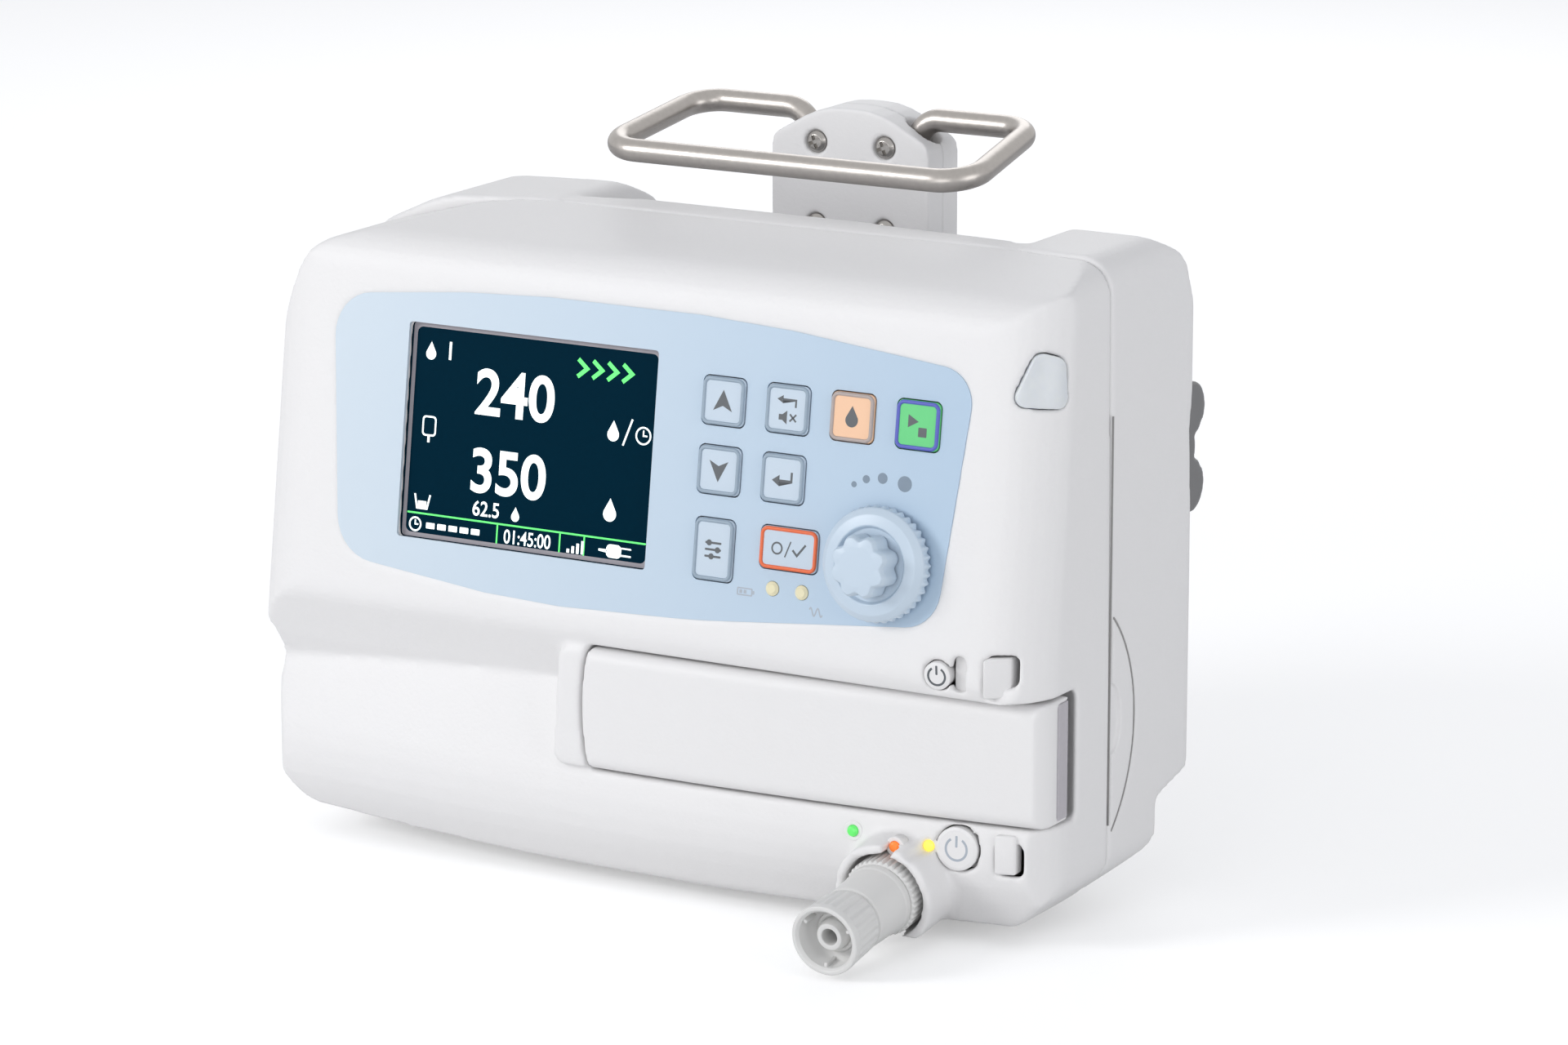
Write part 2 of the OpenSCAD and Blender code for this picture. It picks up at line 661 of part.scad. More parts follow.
module alarm_prism(grow) {
    leaning() translate([half_w - corner_r, corner_r, (alarm_z - panel_z) / cos(panel_tilt)])
        intersection() {
            rotate([90, 0, 45])
                translate([0, 0, corner_r - 4.5 - grow]) linear_extrude(12 + grow)
                    offset(delta = grow)
                        polygon(rounded([[-7.4, -6.5, 2.5], [7.4, -6.5, 2.5], [5.6, 5.8, 3], [-2, 7.2, 3]]));
            cylinder(r = corner_r + 0.5 + grow, h = 50, center = true, $fn = 120);
        }
}
module alarm_lens() {
    color("aliceblue") place() alarm_prism(0);
}

// ---- pump door ----
module door() {
    lo = door_z - door_h / 2;
    color("whitesmoke") place() difference() {
        union() {
            intersection() {
                translate([0, bow_r, 0]) rotate([0, 0, -100]) rotate_extrude(angle = 20, $fn = 360)
                    polygon(rounded([[bow_r - 0.6, lo, 3.2], [bow_r - 0.6, lo + door_h, 3.2],
                                     [bow_r - 70, lo + door_h, 0], [bow_r - 70, lo, 0]]));
                along_y(-20, cheek_y) intersection() {
                    door_end(door_x);
                    translate([door_x - 5, lo]) square([half_w - door_x + 20, door_h]);
                }
                along_z(lo - 1, lo + door_h + 1)
                    polygon(rounded([[-40, -20, 0], [cheek_x, -20, 0], [cheek_x, 0, 0], [half_w, 6, 9],
                                     [half_w, cheek_y, 0], [hinge_x + 4.2, cheek_y, 0],
                                     [hinge_x + 4.2, hinge_y + 2, 0], [hinge_x - 4, hinge_y + 2, 3],
                                     [hinge_x - 8, door_back, 2], [-40, door_back, 0]]));
            }
            translate([hinge_x, hinge_y, lo + EPS]) cylinder(r = 4.5, h = door_h - 2 * EPS);
        }
        translate([hinge_x, hinge_y, lo - 1]) cylinder(d = hinge_d, h = door_h + 2);
        cuboid([half_w - 1.2, 16, lo + 1], [half_w + 1, cheek_y + 1, lo + door_h - 1]);
        cuboid([door_x + 5, latch_y, lo + 2.5], [track_x - 30, door_back + 1, lo + door_h - 2.5]);
    }
}
module door_end_strip() {
    lo = door_z - door_h / 2 + 1;
    color("lightsteelblue") place()
        along_z(lo + 0.05, lo + door_h - 2.05)
            polygon(rounded([[half_w - 1.2, 16.05, 0], [half_w + 0, 16.05, 0.6],
                             [half_w + 0, cheek_y - 0.1, 0.8], [half_w - 1.2, cheek_y - 0.1, 0]]));
}
module door_platen() {
    w = finger_n * finger_pitch + 6;
    color("dimgray") place() translate([track_x, 0, door_z]) along_y(door_back, door_back + 2)
        rounded_box(w, 20, 2);
}
module door_latch() {
    x = door_x + 10;
    color("silver") place() {
        cuboid([x - 3, latch_y, door_z - 4], [x + 3, latch_y + 2, door_z + 4]);
        cuboid([x - 1.2, latch_y + 2 - EPS, door_z - 3], [x + 1.2, chassis_y + 2, door_z + 3]);
    }
}
module hinge_pin() {
    color("silver") place() translate([hinge_x, hinge_y, pocket_lo - 4.6])
        cylinder(d = hinge_d, h = pocket_hi - pocket_lo + 9.2);
}

// ---- finger pump ----
arm_a = 12;
arm_b = -2;
module pump_chassis() {
    block_w = finger_n * finger_pitch + 5;
    right_arm = track_x + block_w / 2 + 2;
    color("slategray") place() difference() {
        union() {
            cuboid([door_x - 4, chassis_y, pocket_lo - 2], [hinge_x - hinge_well - 3, chassis_y + chassis_t, pocket_hi + 2]);
            cuboid([track_x - block_w / 2, chassis_y, door_z - 9], [track_x + block_w / 2, finger_back - 1.5, door_z + 9]);
            cuboid([arm_a, chassis_y, door_z - 8], [arm_a + 3, cam_y + 6, door_z + 8]);
            cuboid([right_arm, chassis_y, door_z - 8], [right_arm + 3, cam_y + 6, door_z + 8]);
            cuboid([arm_b, chassis_y, door_z - 6], [arm_b + 3, cam_y + 6, motor_z + 9]);
        }
        for (i = [0 : finger_n - 1])
            cuboid([track_x + (i - (finger_n - 1) / 2) * finger_pitch - finger_pitch / 2 + 0.1, chassis_y - 1, door_z - 6.1],
                   [track_x + (i - (finger_n - 1) / 2) * finger_pitch + finger_pitch / 2 - 0.1, finger_back, door_z + 6.1]);
        rod([arm_a - 1, cam_y, door_z], [right_arm + 4, cam_y, door_z], shaft_d + 2 * fit);
        rod([arm_b - 1, cam_y, motor_z], [arm_b + 4, cam_y, motor_z], 8);
        cuboid([door_x + 7, chassis_y - 1, door_z - 5], [door_x + 13, chassis_y + 4, door_z + 5]);
    }
}
module pump_fingers() {
    color("ivory") place() for (i = [0 : finger_n - 1])
        translate([track_x + (i - (finger_n - 1) / 2) * finger_pitch, 0, door_z])
            cuboid([-finger_pitch / 2 + 0.2, tip_y, -6], [finger_pitch / 2 - 0.2, finger_back, 6]);
}
module camshaft() {
    block_w = finger_n * finger_pitch + 5;
    color("silver") place() {
        rod([gear_x - 1, cam_y, door_z], [track_x + block_w / 2 + 5.5, cam_y, door_z], shaft_d);
        for (i = [0 : finger_n - 1])
            translate([track_x + (i - (finger_n - 1) / 2) * finger_pitch, cam_y, door_z])
                rotate([i * 360 / finger_n, 0, 0])
                    rod([-finger_pitch / 2 + 0.3, cam_lift, 0], [finger_pitch / 2 - 0.3, cam_lift, 0], 2 * cam_r);
    }
}
module gear_outline(teeth, phase) {
    pitch_r = teeth * gear_module / 2;
    tip = pitch_r + 0.9 * gear_module;
    root = pitch_r - 1.15 * gear_module;
    step = 360 / teeth;
    polygon([for (i = [0 : teeth - 1]) let (a = (i + phase) * step)
             each [root * [cos(a - 0.33 * step), sin(a - 0.33 * step)],
                   pitch_r * [cos(a - 0.23 * step), sin(a - 0.23 * step)],
                   tip * [cos(a - 0.11 * step), sin(a - 0.11 * step)],
                   tip * [cos(a + 0.11 * step), sin(a + 0.11 * step)],
                   pitch_r * [cos(a + 0.23 * step), sin(a + 0.23 * step)],
                   root * [cos(a + 0.33 * step), sin(a + 0.33 * step)]]]);
}
module cam_gear() {
    color("ivory") place() translate([0, cam_y, door_z]) along_x(gear_x, gear_x + gear_t) difference() {
        gear_outline(gear_teeth, gear_teeth / 4);
        circle(d = shaft_d);
    }
}
module motor_pinion() {
    color("goldenrod") place() translate([0, cam_y, motor_z]) {
        along_x(gear_x, gear_x + gear_t) gear_outline(pinion_teeth, -pinion_teeth / 4 + 0.5);
        rod([arm_b - 7.5, 0, 0], [gear_x + gear_t + 1, 0, 0], motor_shaft_d);
    }
}
module pump_motor() {
    color("darkgray") place() difference() {
        rod([arm_b - 38, cam_y, motor_z], [arm_b - seat_gap, cam_y, motor_z], motor_d);
        rod([arm_b - 8, cam_y, motor_z], [arm_b + 8, cam_y, motor_z], motor_shaft_d + 2 * fit);
    }
}

// ---- nozzle, in its own frame: +z runs out along the barrel ----
module nozzle_socket() {
    color("gainsboro") place() on_nozzle() difference() {
        translate([0, 0, -2.5]) linear_extrude(9) serrated(20, 40, 0.5);
        translate([0, 0, -20]) cylinder(d = nozzle_d, h = 60);
    }
}
module nozzle_body() {
    groove = nozzle_l - collar_l;
    color("gainsboro") place() on_nozzle() difference() {
        union() {
            translate([0, 0, seat_gap - 8]) cylinder(d = nozzle_d, h = groove + 7.8 - seat_gap);
            translate([0, 0, 6.5]) cylinder(d1 = nozzle_d + 3, d2 = nozzle_d + 1.6, h = groove - 6.7);
            translate([0, 0, groove - 1]) cylinder(d = nozzle_d - 3.6, h = 8);
        }
        translate([0, 0, -10]) cylinder(d = 8, h = 60);
    }
}
module nozzle_collar() {
    groove = nozzle_l - collar_l;
    color("lightgray") place() on_nozzle() difference() {
        union() {
            translate([0, 0, groove]) cylinder(d = collar_d - 1, h = collar_l);
            for (i = [0 : 11]) rotate(i * 30) translate([collar_d / 2 - 0.7, 0, groove + 0.8])
                cylinder(d = 1.4, h = collar_l - 3.4, $fn = 16);
            translate([0, 0, nozzle_l - 2.2]) cylinder(d = collar_d, h = 2.2);
        }
        translate([0, 0, groove - 1]) cylinder(d = nozzle_d - 3.6 + 2 * fit, h = collar_l + 9);
        translate([0, 0, groove + 7.4]) difference() {
            cylinder(d = collar_d - 3.4, h = collar_l);
            for (i = [0 : 3]) rotate(i * 90 + 20) translate([collar_d / 2 - 3.4, -0.6, 0]) cube([4, 1.2, 4.6]);
        }
    }
}
module nozzle_tube() {
    color("whitesmoke") place() on_nozzle() difference() {
        union() {
            translate([0, 0, -6]) cylinder(d = 8, h = nozzle_l + 2);
            translate([0, 0, nozzle_l - 4]) cylinder(d1 = 8, d2 = 6.8, h = 1.4);
        }
        translate([0, 0, -7]) cylinder(d = 4.2, h = nozzle_l + 12);
    }
}

// ---- rod handle: a bent rod, swept along its middle line without twist ----
function bend(path, r) = [
    path[0],
    for (i = [1 : len(path) - 2]) each corner(path[i - 1], path[i], path[i + 1], r[i]),
    path[len(path) - 1]];
function heading(path, i) =
    unit(path[min(i + 1, len(path) - 1)] - path[max(i - 1, 0)]);
module bent_rod(path, d, sides) {
    last = len(path) - 1;
    rings = [for (i = 0, u = [0, 1, 0]; i <= last;
                  i = i + 1, u = i > last ? u : unit(u - (u * heading(path, i)) * heading(path, i)))
             let (v = cross(heading(path, i), u))
             [for (k = [0 : sides - 1]) path[i] + d / 2 * (cos(360 * k / sides) * u + sin(360 * k / sides) * v)]];
    polyhedron(
        points = [for (ring = rings) each ring],
        faces = [
            [for (k = [0 : sides - 1]) k],
            [for (k = [sides - 1 : -1 : 0]) last * sides + k],
            for (i = [0 : last - 1]) for (k = [0 : sides - 1])
                let (n = (k + 1) % sides, a = i * sides, b = a + sides)
                each [[a + k, b + k, b + n], [a + k, b + n, a + n]]]);
}
socket_x = 15.5;
bend_r = 7;
corner_bend = 9;
rod_foot = 166 + bracket_z - 192;
module handle_bar() {
    back = handle_back_w / 2 - rod_d / 2;
    front = handle_w / 2 - rod_d / 2;
    run = sqrt(handle_reach * handle_reach - rod_drop * rod_drop);
    right = [[socket_x, 0, rod_foot - rod_z], [socket_x, 0, 0], [back, 0, 0], [front, -run, -rod_drop]];
    left = [for (i = [3 : -1 : 0]) [-right[i][0], right[i][1], right[i][2]]];
    radii = [0, bend_r, corner_bend, corner_bend, corner_bend, corner_bend, bend_r, 0];
    color("silver") place() translate([bracket_x, bracket_y, rod_z])
        bent_rod(bend(concat(right, left), radii), rod_d, 18);
}
module bracket_form(y0, y1) {
    difference() {
        along_y(y0, y1) polygon(rounded([
            [bracket_x - bracket_w / 2, bracket_foot, 0], [bracket_x + bracket_w / 2, bracket_foot, 0],
            [bracket_x + bracket_w / 2, bracket_z - 8, 4], [bracket_x + 8, bracket_z + 0.4, 24],
            [bracket_x - 8, bracket_z + 0.4, 24], [bracket_x - bracket_w / 2, bracket_z - 8, 4]]));
        for (s = [-1, 1]) {
            rod([bracket_x + s * socket_x, bracket_y, rod_foot - seat_gap],
                [bracket_x + s * socket_x, bracket_y, bracket_z + 10], rod_d + 2 * fit);
            rod([bracket_x + s * socket_x, bracket_y, rod_z - bend_r],
                [bracket_x + s * (socket_x + bend_r), bracket_y, rod_z], rod_d + 1.4);
            rod([bracket_x + s * (socket_x - 1), bracket_y, rod_z],
                [bracket_x + s * (socket_x + 30), bracket_y, rod_z], rod_d + 0.4);
        }
    }
}
module bracket_holes(d, y0, y1) {
    for (x = [-1, 1]) for (z = [-1, 1])
        rod([bracket_x + x * screw_dx / 2, y0, screw_mid + z * screw_dz / 2],
            [bracket_x + x * screw_dx / 2, y1, screw_mid + z * screw_dz / 2], d);
}
screw_mid = bracket_z - 19.8;
bracket_front_y = bracket_y - bracket_t / 2;
module handle_bracket_front() {
    color("whitesmoke") place() difference() {
        bracket_form(bracket_front_y, bracket_y);
        bracket_holes(3.2, 0, far);
        bracket_holes(6.4, 0, bracket_front_y + 1.4);
    }
}
module handle_bracket_rear() {
    color("whitesmoke") place() difference() {
        bracket_form(bracket_y, bracket_y + bracket_t / 2);
        bracket_holes(3, bracket_y - 1, bracket_y + bracket_t / 2 - 1.5);
    }
}
module pan_screw(d, head_d, head_h, length) {
    difference() {
        union() {
            cylinder(d1 = head_d, d2 = head_d - 1.2, h = head_h);
            translate([0, 0, -length]) cylinder(d = d, h = length + EPS);
        }
        for (a = [0, 90]) rotate(a) translate([-head_d * 0.3, -0.5, head_h - 1]) cube([head_d * 0.6, 1, 2]);
    }
}
module bracket_screws() {
    color("silver") place() for (x = [-1, 1]) for (z = [-1, 1])
        translate([bracket_x + x * screw_dx / 2, bracket_front_y + 1.4, screw_mid + z * screw_dz / 2])
            rotate([90, 0, 0]) pan_screw(2.9, 5.8, 2, 12);
}

// ---- pole clamp ----
clamp_dx = 16;
clamp_dz = 22;
clamp_mid = (pole_x + arm_x) / 2 - 1.4;
jaw_y = pole_y + 12;
module clamp_frame() {
    lo = clamp_z - 16;
    hi = clamp_z + 16;
    back = spine_y + plate_t;
    color("lightgray") place() difference() {
        along_z(lo, hi) difference() {
            polygon(rounded([[saddle_x - 12, spine_y, 2], [arm_x + arm_t, spine_y, 0],
                             [arm_x + arm_t, jaw_y, 4], [arm_x, jaw_y, 2], [arm_x, back, 2],
                             [pole_x - 2, back, 0], [pole_x - 2, pole_y - 2, 0], [jaw_tip_x, pole_y, 0],
                             [jaw_tip_x, jaw_y, 3], [saddle_x - 5, jaw_y, 6]]));
            translate([pole_x, pole_y]) circle(r = saddle_r, $fn = 90);
            translate([pole_x, spine_y + plate_t]) square([20, 40]);
        }
        rod([arm_x - 5, pole_y, clamp_z], [far, pole_y, clamp_z], spindle_d + 2 * fit);
        for (x = [-1, 1]) for (z = [-1, 1])
            rod([clamp_mid + x * clamp_dx / 2, 0, clamp_z + z * clamp_dz / 2],
                [clamp_mid + x * clamp_dx / 2, far, clamp_z + z * clamp_dz / 2], 3.4);
    }
}
module clamp_spindle() {
    color("silver") place()
        rod([pad_x + pad_t - 4, pole_y, clamp_z], [clamp_knob_x + 8, pole_y, clamp_z], spindle_d);
}
module clamp_knob() {
    lobe_r = 7.2;
    lobe_c = (clamp_knob_h / 2 - lobe_r) / sin(45);
    color("dimgray") place() translate([0, pole_y, clamp_z]) difference() {
        along_x(clamp_knob_x, clamp_knob_x + clamp_knob_t) difference() {
            union() {
                circle(r = 12);
                for (a = [45 : 90 : 315]) rotate(a) translate([lobe_c, 0]) circle(r = lobe_r);
            }
            for (a = [0 : 90 : 270]) rotate(a) translate([21, 0]) circle(r = 8);
        }
        rod([clamp_knob_x - 1, 0, 0], [clamp_knob_x + 8, 0, 0], spindle_d);
    }
}
module clamp_pad() {
    color("dimgray") place() difference() {
        translate([0, pole_y, clamp_z]) along_x(pad_x, pad_x + pad_t) rounded_box(20, 24, 4);
        rod([pad_x + pad_t - 4, pole_y, clamp_z], [far, pole_y, clamp_z], spindle_d + 2 * fit);
        translate([pad_x - 1.4, pole_y, 0]) cylinder(r = 2.6, h = far);
    }
}
module clamp_screws() {
    color("silver") place() for (x = [-1, 1]) for (z = [-1, 1])
        translate([clamp_mid + x * clamp_dx / 2, spine_y + plate_t, clamp_z + z * clamp_dz / 2])
            rotate([-90, 0, 0]) pan_screw(3.1, 6, 2, 12);
}

// ---- inside the rear shell ----
module battery_cover() {
    color("whitesmoke") place() difference() {
        along_x(half_w - 2 + EPS, half_w - 0.1) cover_outline(0);
        translate([half_w + 1.2, cover_y, cover_z + 1.4])
            intersection() {
                rotate([0, 90, 0]) translate([0, 0, -2.4]) linear_extrude(8) oval(18, 10);
                cuboid([-10, -1, -20], [10, 10, 20]);
            }
    }
}
module oval(l, w) {
    polygon([for (a = [0 : 10 : 350]) [l / 2 * cos(a), w / 2 * sin(a)]]);
}
battery_l = 70;
battery_h = 20;
battery_t = 6.4;
module battery_pack() {
    color("steelblue") place() along_x(half_w - 3 - battery_l, half_w - 3)
        polygon(rounded([[cover_y + 2, cover_z - battery_h / 2, 2], [cover_y + 2 + battery_t, cover_z - battery_h / 2, 2],
                         [cover_y + 2 + battery_t, cover_z + battery_h / 2, 2], [cover_y + 2, cover_z + battery_h / 2, 2]]));
}
inlet_at = [-78, 52];
inlet_w = 27;
inlet_h = 20;
inlet_y = body_d - 4;
module mains_inlet() {
    color("black") place() translate([inlet_at[0], 0, inlet_at[1]]) difference() {
        along_y(inlet_y - 22, inlet_y + 1.8) rounded_box(inlet_w, inlet_h, 3);
        along_y(inlet_y - 14, inlet_y + 5) rounded_box(inlet_w - 4, inlet_h - 4, 3);
        for (x = [-7, 0, 7]) translate([x, 0, x == 0 ? 3 : -1]) along_y(inlet_y - 30, inlet_y) square([2, 4], center = true);
    }
}
module inlet_pins() {
    color("silver") place() translate([inlet_at[0], 0, inlet_at[1]])
        for (x = [-7, 0, 7]) translate([x, 0, x == 0 ? 3 : -1]) along_y(supply_y + board_t + seat_gap, inlet_y - 4) square([2, 4], center = true);
}
module power_supply() {
    color("darkgreen") place() {
        cuboid([-106, supply_y, 28], [-48, supply_y + board_t, 78]);
        cuboid([-102, supply_y - 15, 34], [-76, supply_y + EPS, 72]);
        cuboid([-70, supply_y - 11, 34], [-52, supply_y + EPS, 60]);
    }
}
module main_board() {
    color("darkgreen") place() {
        cuboid([-100, logic_y, 86], [14, logic_y + board_t, 144]);
        cuboid([-60, logic_y - 2.4, 100], [-30, logic_y + EPS, 130]);
        cuboid([-10, logic_y - 5, 110], [8, logic_y + EPS, 118]);
    }
}
foot_y = 36.5;
module feet() {
    color("dimgray") place() for (x = [-1, 1]) translate([x * 78, 0, 0])
        along_x(-foot_w / 2, foot_w / 2) polygon(rounded([
            [foot_y, 0, 1], [foot_y + foot_l - 1, 0, 1], [foot_y + foot_l, rest_under(foot_y + foot_l), 0],
            [seam_y, rest_under(seam_y), 0], [foot_y, rest_under(foot_y), 0]]));
}
function rest_under(y) = y < seam_y ? base_z - 1 + (y - 20) * (8.5 - base_z) / (seam_y - 20) :
                                      7.5 + (y - seam_y) * 7 / (step_y - seam_y);
module housing_screws() {
    color("silver") place() for (x = [-1, 1]) {
        translate([x * screw_upper[0], seam_y + 12, screw_upper[1]]) rotate([-90, 0, 0]) pan_screw(2.4, 5.6, 2, 26);
        translate([x * screw_lower[0], seam_y + 12, screw_lower[1]]) rotate([-90, 0, 0]) pan_screw(2.4, 5.6, 2, 26);
    }
}

front_housing();
rear_housing();
panel_skin();
display_window();
display_module();
key_up();
key_down();
key_back();
key_enter();
key_mode();
key_ok();
key_purge();
key_start();
key_domes();
key_board();
jog_ring();
jog_knob();
jog_encoder();
panel_lamps();
status_lamp_green();
status_lamp_orange();
status_lamp_yellow();
lamp_board();
power_button_upper();
power_button_lower();
alarm_lens();
door();
door_end_strip();
door_platen();
door_latch();
hinge_pin();
pump_chassis();
pump_fingers();
camshaft();
cam_gear();
pump_motor();
motor_pinion();
nozzle_socket();
nozzle_body();
nozzle_collar();
nozzle_tube();
handle_bar();
handle_bracket_front();
handle_bracket_rear();
bracket_screws();
clamp_frame();
clamp_spindle();
clamp_knob();
clamp_pad();
clamp_screws();
battery_cover();
battery_pack();
power_supply();
main_board();
mains_inlet();
inlet_pins();
feet();
housing_screws();
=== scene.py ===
# %% [markdown]
# # An infusion pump that clamps to a pole
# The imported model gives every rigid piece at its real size. This lesson gives each of them its looks:
# soft moulded edges, printed symbols, a lit display, brushed steel and milky lamps.

import json
import math

import bmesh
import bpy
import numpy as np
from mathutils import Matrix, Vector
from mathutils.bvhtree import BVHTree
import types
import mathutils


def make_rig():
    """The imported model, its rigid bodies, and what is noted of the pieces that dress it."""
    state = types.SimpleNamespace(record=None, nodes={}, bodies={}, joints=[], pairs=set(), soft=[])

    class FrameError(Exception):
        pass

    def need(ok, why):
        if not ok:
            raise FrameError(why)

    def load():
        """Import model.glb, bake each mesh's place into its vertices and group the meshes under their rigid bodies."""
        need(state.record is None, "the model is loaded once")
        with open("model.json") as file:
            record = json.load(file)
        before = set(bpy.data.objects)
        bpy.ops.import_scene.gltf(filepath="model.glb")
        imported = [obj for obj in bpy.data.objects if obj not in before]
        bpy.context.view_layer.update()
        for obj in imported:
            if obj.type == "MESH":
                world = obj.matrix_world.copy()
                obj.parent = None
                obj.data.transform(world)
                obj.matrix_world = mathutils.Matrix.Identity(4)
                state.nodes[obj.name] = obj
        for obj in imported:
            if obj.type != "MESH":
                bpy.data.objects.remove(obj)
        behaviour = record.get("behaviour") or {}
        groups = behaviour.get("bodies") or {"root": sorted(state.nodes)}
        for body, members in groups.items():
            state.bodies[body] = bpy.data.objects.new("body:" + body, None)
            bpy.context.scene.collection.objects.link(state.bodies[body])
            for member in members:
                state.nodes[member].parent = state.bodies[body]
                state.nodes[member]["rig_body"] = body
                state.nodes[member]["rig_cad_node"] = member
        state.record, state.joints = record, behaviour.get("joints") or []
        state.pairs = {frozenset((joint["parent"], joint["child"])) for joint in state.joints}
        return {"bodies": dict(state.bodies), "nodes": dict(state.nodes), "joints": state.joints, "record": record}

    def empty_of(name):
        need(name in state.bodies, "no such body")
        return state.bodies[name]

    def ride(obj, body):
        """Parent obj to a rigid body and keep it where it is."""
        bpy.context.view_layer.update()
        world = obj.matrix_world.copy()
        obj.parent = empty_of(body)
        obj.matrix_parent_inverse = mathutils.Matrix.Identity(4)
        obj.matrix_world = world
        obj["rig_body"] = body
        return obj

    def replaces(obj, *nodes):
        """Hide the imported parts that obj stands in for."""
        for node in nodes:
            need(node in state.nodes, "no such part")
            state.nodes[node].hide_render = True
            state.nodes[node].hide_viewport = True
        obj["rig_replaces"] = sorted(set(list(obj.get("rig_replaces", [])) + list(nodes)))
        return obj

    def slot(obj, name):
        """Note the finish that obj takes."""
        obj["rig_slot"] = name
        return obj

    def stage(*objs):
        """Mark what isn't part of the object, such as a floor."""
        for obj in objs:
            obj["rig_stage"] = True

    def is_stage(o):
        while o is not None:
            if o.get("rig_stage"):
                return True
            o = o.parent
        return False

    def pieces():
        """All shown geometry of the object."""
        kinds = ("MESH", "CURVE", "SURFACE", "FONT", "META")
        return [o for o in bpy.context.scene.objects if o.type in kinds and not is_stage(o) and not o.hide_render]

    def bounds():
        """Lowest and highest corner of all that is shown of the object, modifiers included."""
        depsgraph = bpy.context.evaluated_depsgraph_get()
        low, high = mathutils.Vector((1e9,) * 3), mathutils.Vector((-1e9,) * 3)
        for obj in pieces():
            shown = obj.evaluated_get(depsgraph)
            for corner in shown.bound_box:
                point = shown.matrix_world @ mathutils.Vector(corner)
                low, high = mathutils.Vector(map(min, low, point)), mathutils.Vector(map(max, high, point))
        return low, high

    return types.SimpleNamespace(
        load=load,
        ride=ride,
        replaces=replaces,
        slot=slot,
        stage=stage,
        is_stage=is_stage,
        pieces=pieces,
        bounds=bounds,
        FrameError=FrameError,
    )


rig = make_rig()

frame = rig.load()
nodes = frame["nodes"]
cad_box = [list(corner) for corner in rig.bounds()]
print("nodes", len(nodes), "box", cad_box)

# %% [markdown]
# The pump is drawn in millimetres with Y = 0 at the middle of its lower front, and the frame's origin
# lies under the middle of its depth. One matrix takes drawn millimetres to metres in the frame.

# %% Millimetres to the frame
MM = 0.001
DEPTH = 50.2517
to_frame = Matrix.Translation((0, -DEPTH * MM, 0)) @ Matrix.Diagonal((MM, MM, MM, 1))
TILT = math.radians(8)


def panel_face(z):
    return 1 + (z - 76) * math.tan(TILT)


def axes(origin, u, v, n):
    """A place on the pump: u to the right, v up, n outwards, in drawn millimetres."""
    turn = Matrix((u, v, n)).transposed().to_4x4()
    return Matrix.Translation(origin) @ turn


def on_panel(x, z, lift=0.0):
    n = Vector((0, -math.cos(TILT), math.sin(TILT)))
    up = Vector((0, math.sin(TILT), math.cos(TILT)))
    return axes(Vector((x, panel_face(z), z)) + n * lift, Vector((1, 0, 0)), up, n)


def lifted(place, height):
    return place @ Matrix.Translation((0, 0, height))


def on_front(x, y, z):
    return axes(Vector((x, y, z)), Vector((1, 0, 0)), Vector((0, 0, 1)), Vector((0, -1, 0)))


print("panel leans", round(math.degrees(TILT)), "degrees")

# %% [markdown]
# The camera stands to the right of the pump and a little above it, with a long lens, so the upright
# edges stay nearly parallel as in a product photograph.

# %% Camera
CAMERA_AT = (0.7462, -1.26115, 0.440)
LENS_MM, SENSOR_MM = 135, 36
camera_data = bpy.data.cameras.new("camera")
camera_data.lens = LENS_MM
camera_data.sensor_width = SENSOR_MM
camera_data.clip_end = 20
camera = bpy.data.objects.new("camera", camera_data)
bpy.context.collection.objects.link(camera)
azimuth, elevation = math.radians(30), math.radians(13.5)
back = Vector((math.sin(azimuth) * math.cos(elevation),
               -math.cos(azimuth) * math.cos(elevation),
               math.sin(elevation)))
camera.location = CAMERA_AT
camera.rotation_euler = back.to_track_quat("Z", "Y").to_euler()
bpy.context.scene.camera = camera
print("camera at", tuple(round(c, 3) for c in camera.location))

# %% [markdown]
# A photographer lights white plastic with large soft sources, so that its form reads from slow
# changes of shade. The main light stands high at the left, a low one in front opens the shadows, and
# weaker ones at the right and behind draw the edges.

# %% Studio light
scene = bpy.context.scene
scene.view_settings.view_transform = "Standard"
LIGHTS = {
    "key_light": ((-1.05, -1.35, 0.80), 0.7, 13.0),
    "front_light": ((0.35, -1.75, 0.22), 1.2, 7.0),
    "side_light": ((1.55, -0.35, 0.40), 1.0, 5.6),
    "back_light": ((-0.5, 1.2, 0.9), 0.9, 3.0),
}
for name, (place, size, power) in LIGHTS.items():
    data = bpy.data.lights.new(name, "AREA")
    data.shape = "DISK"
    data.size = size
    data.energy = power
    lamp = bpy.data.objects.new(name, data)
    lamp.location = place
    lamp.rotation_euler = (Vector(place) - Vector((0, 0, 0.09))).to_track_quat("Z", "Y").to_euler()
    bpy.context.collection.objects.link(lamp)
print("lights", list(LIGHTS))

# %% [markdown]
# The backdrop is white. Light Path tells camera and mirror rays from the rest, so the white shows
# behind the pump and in its metal without adding light to it.

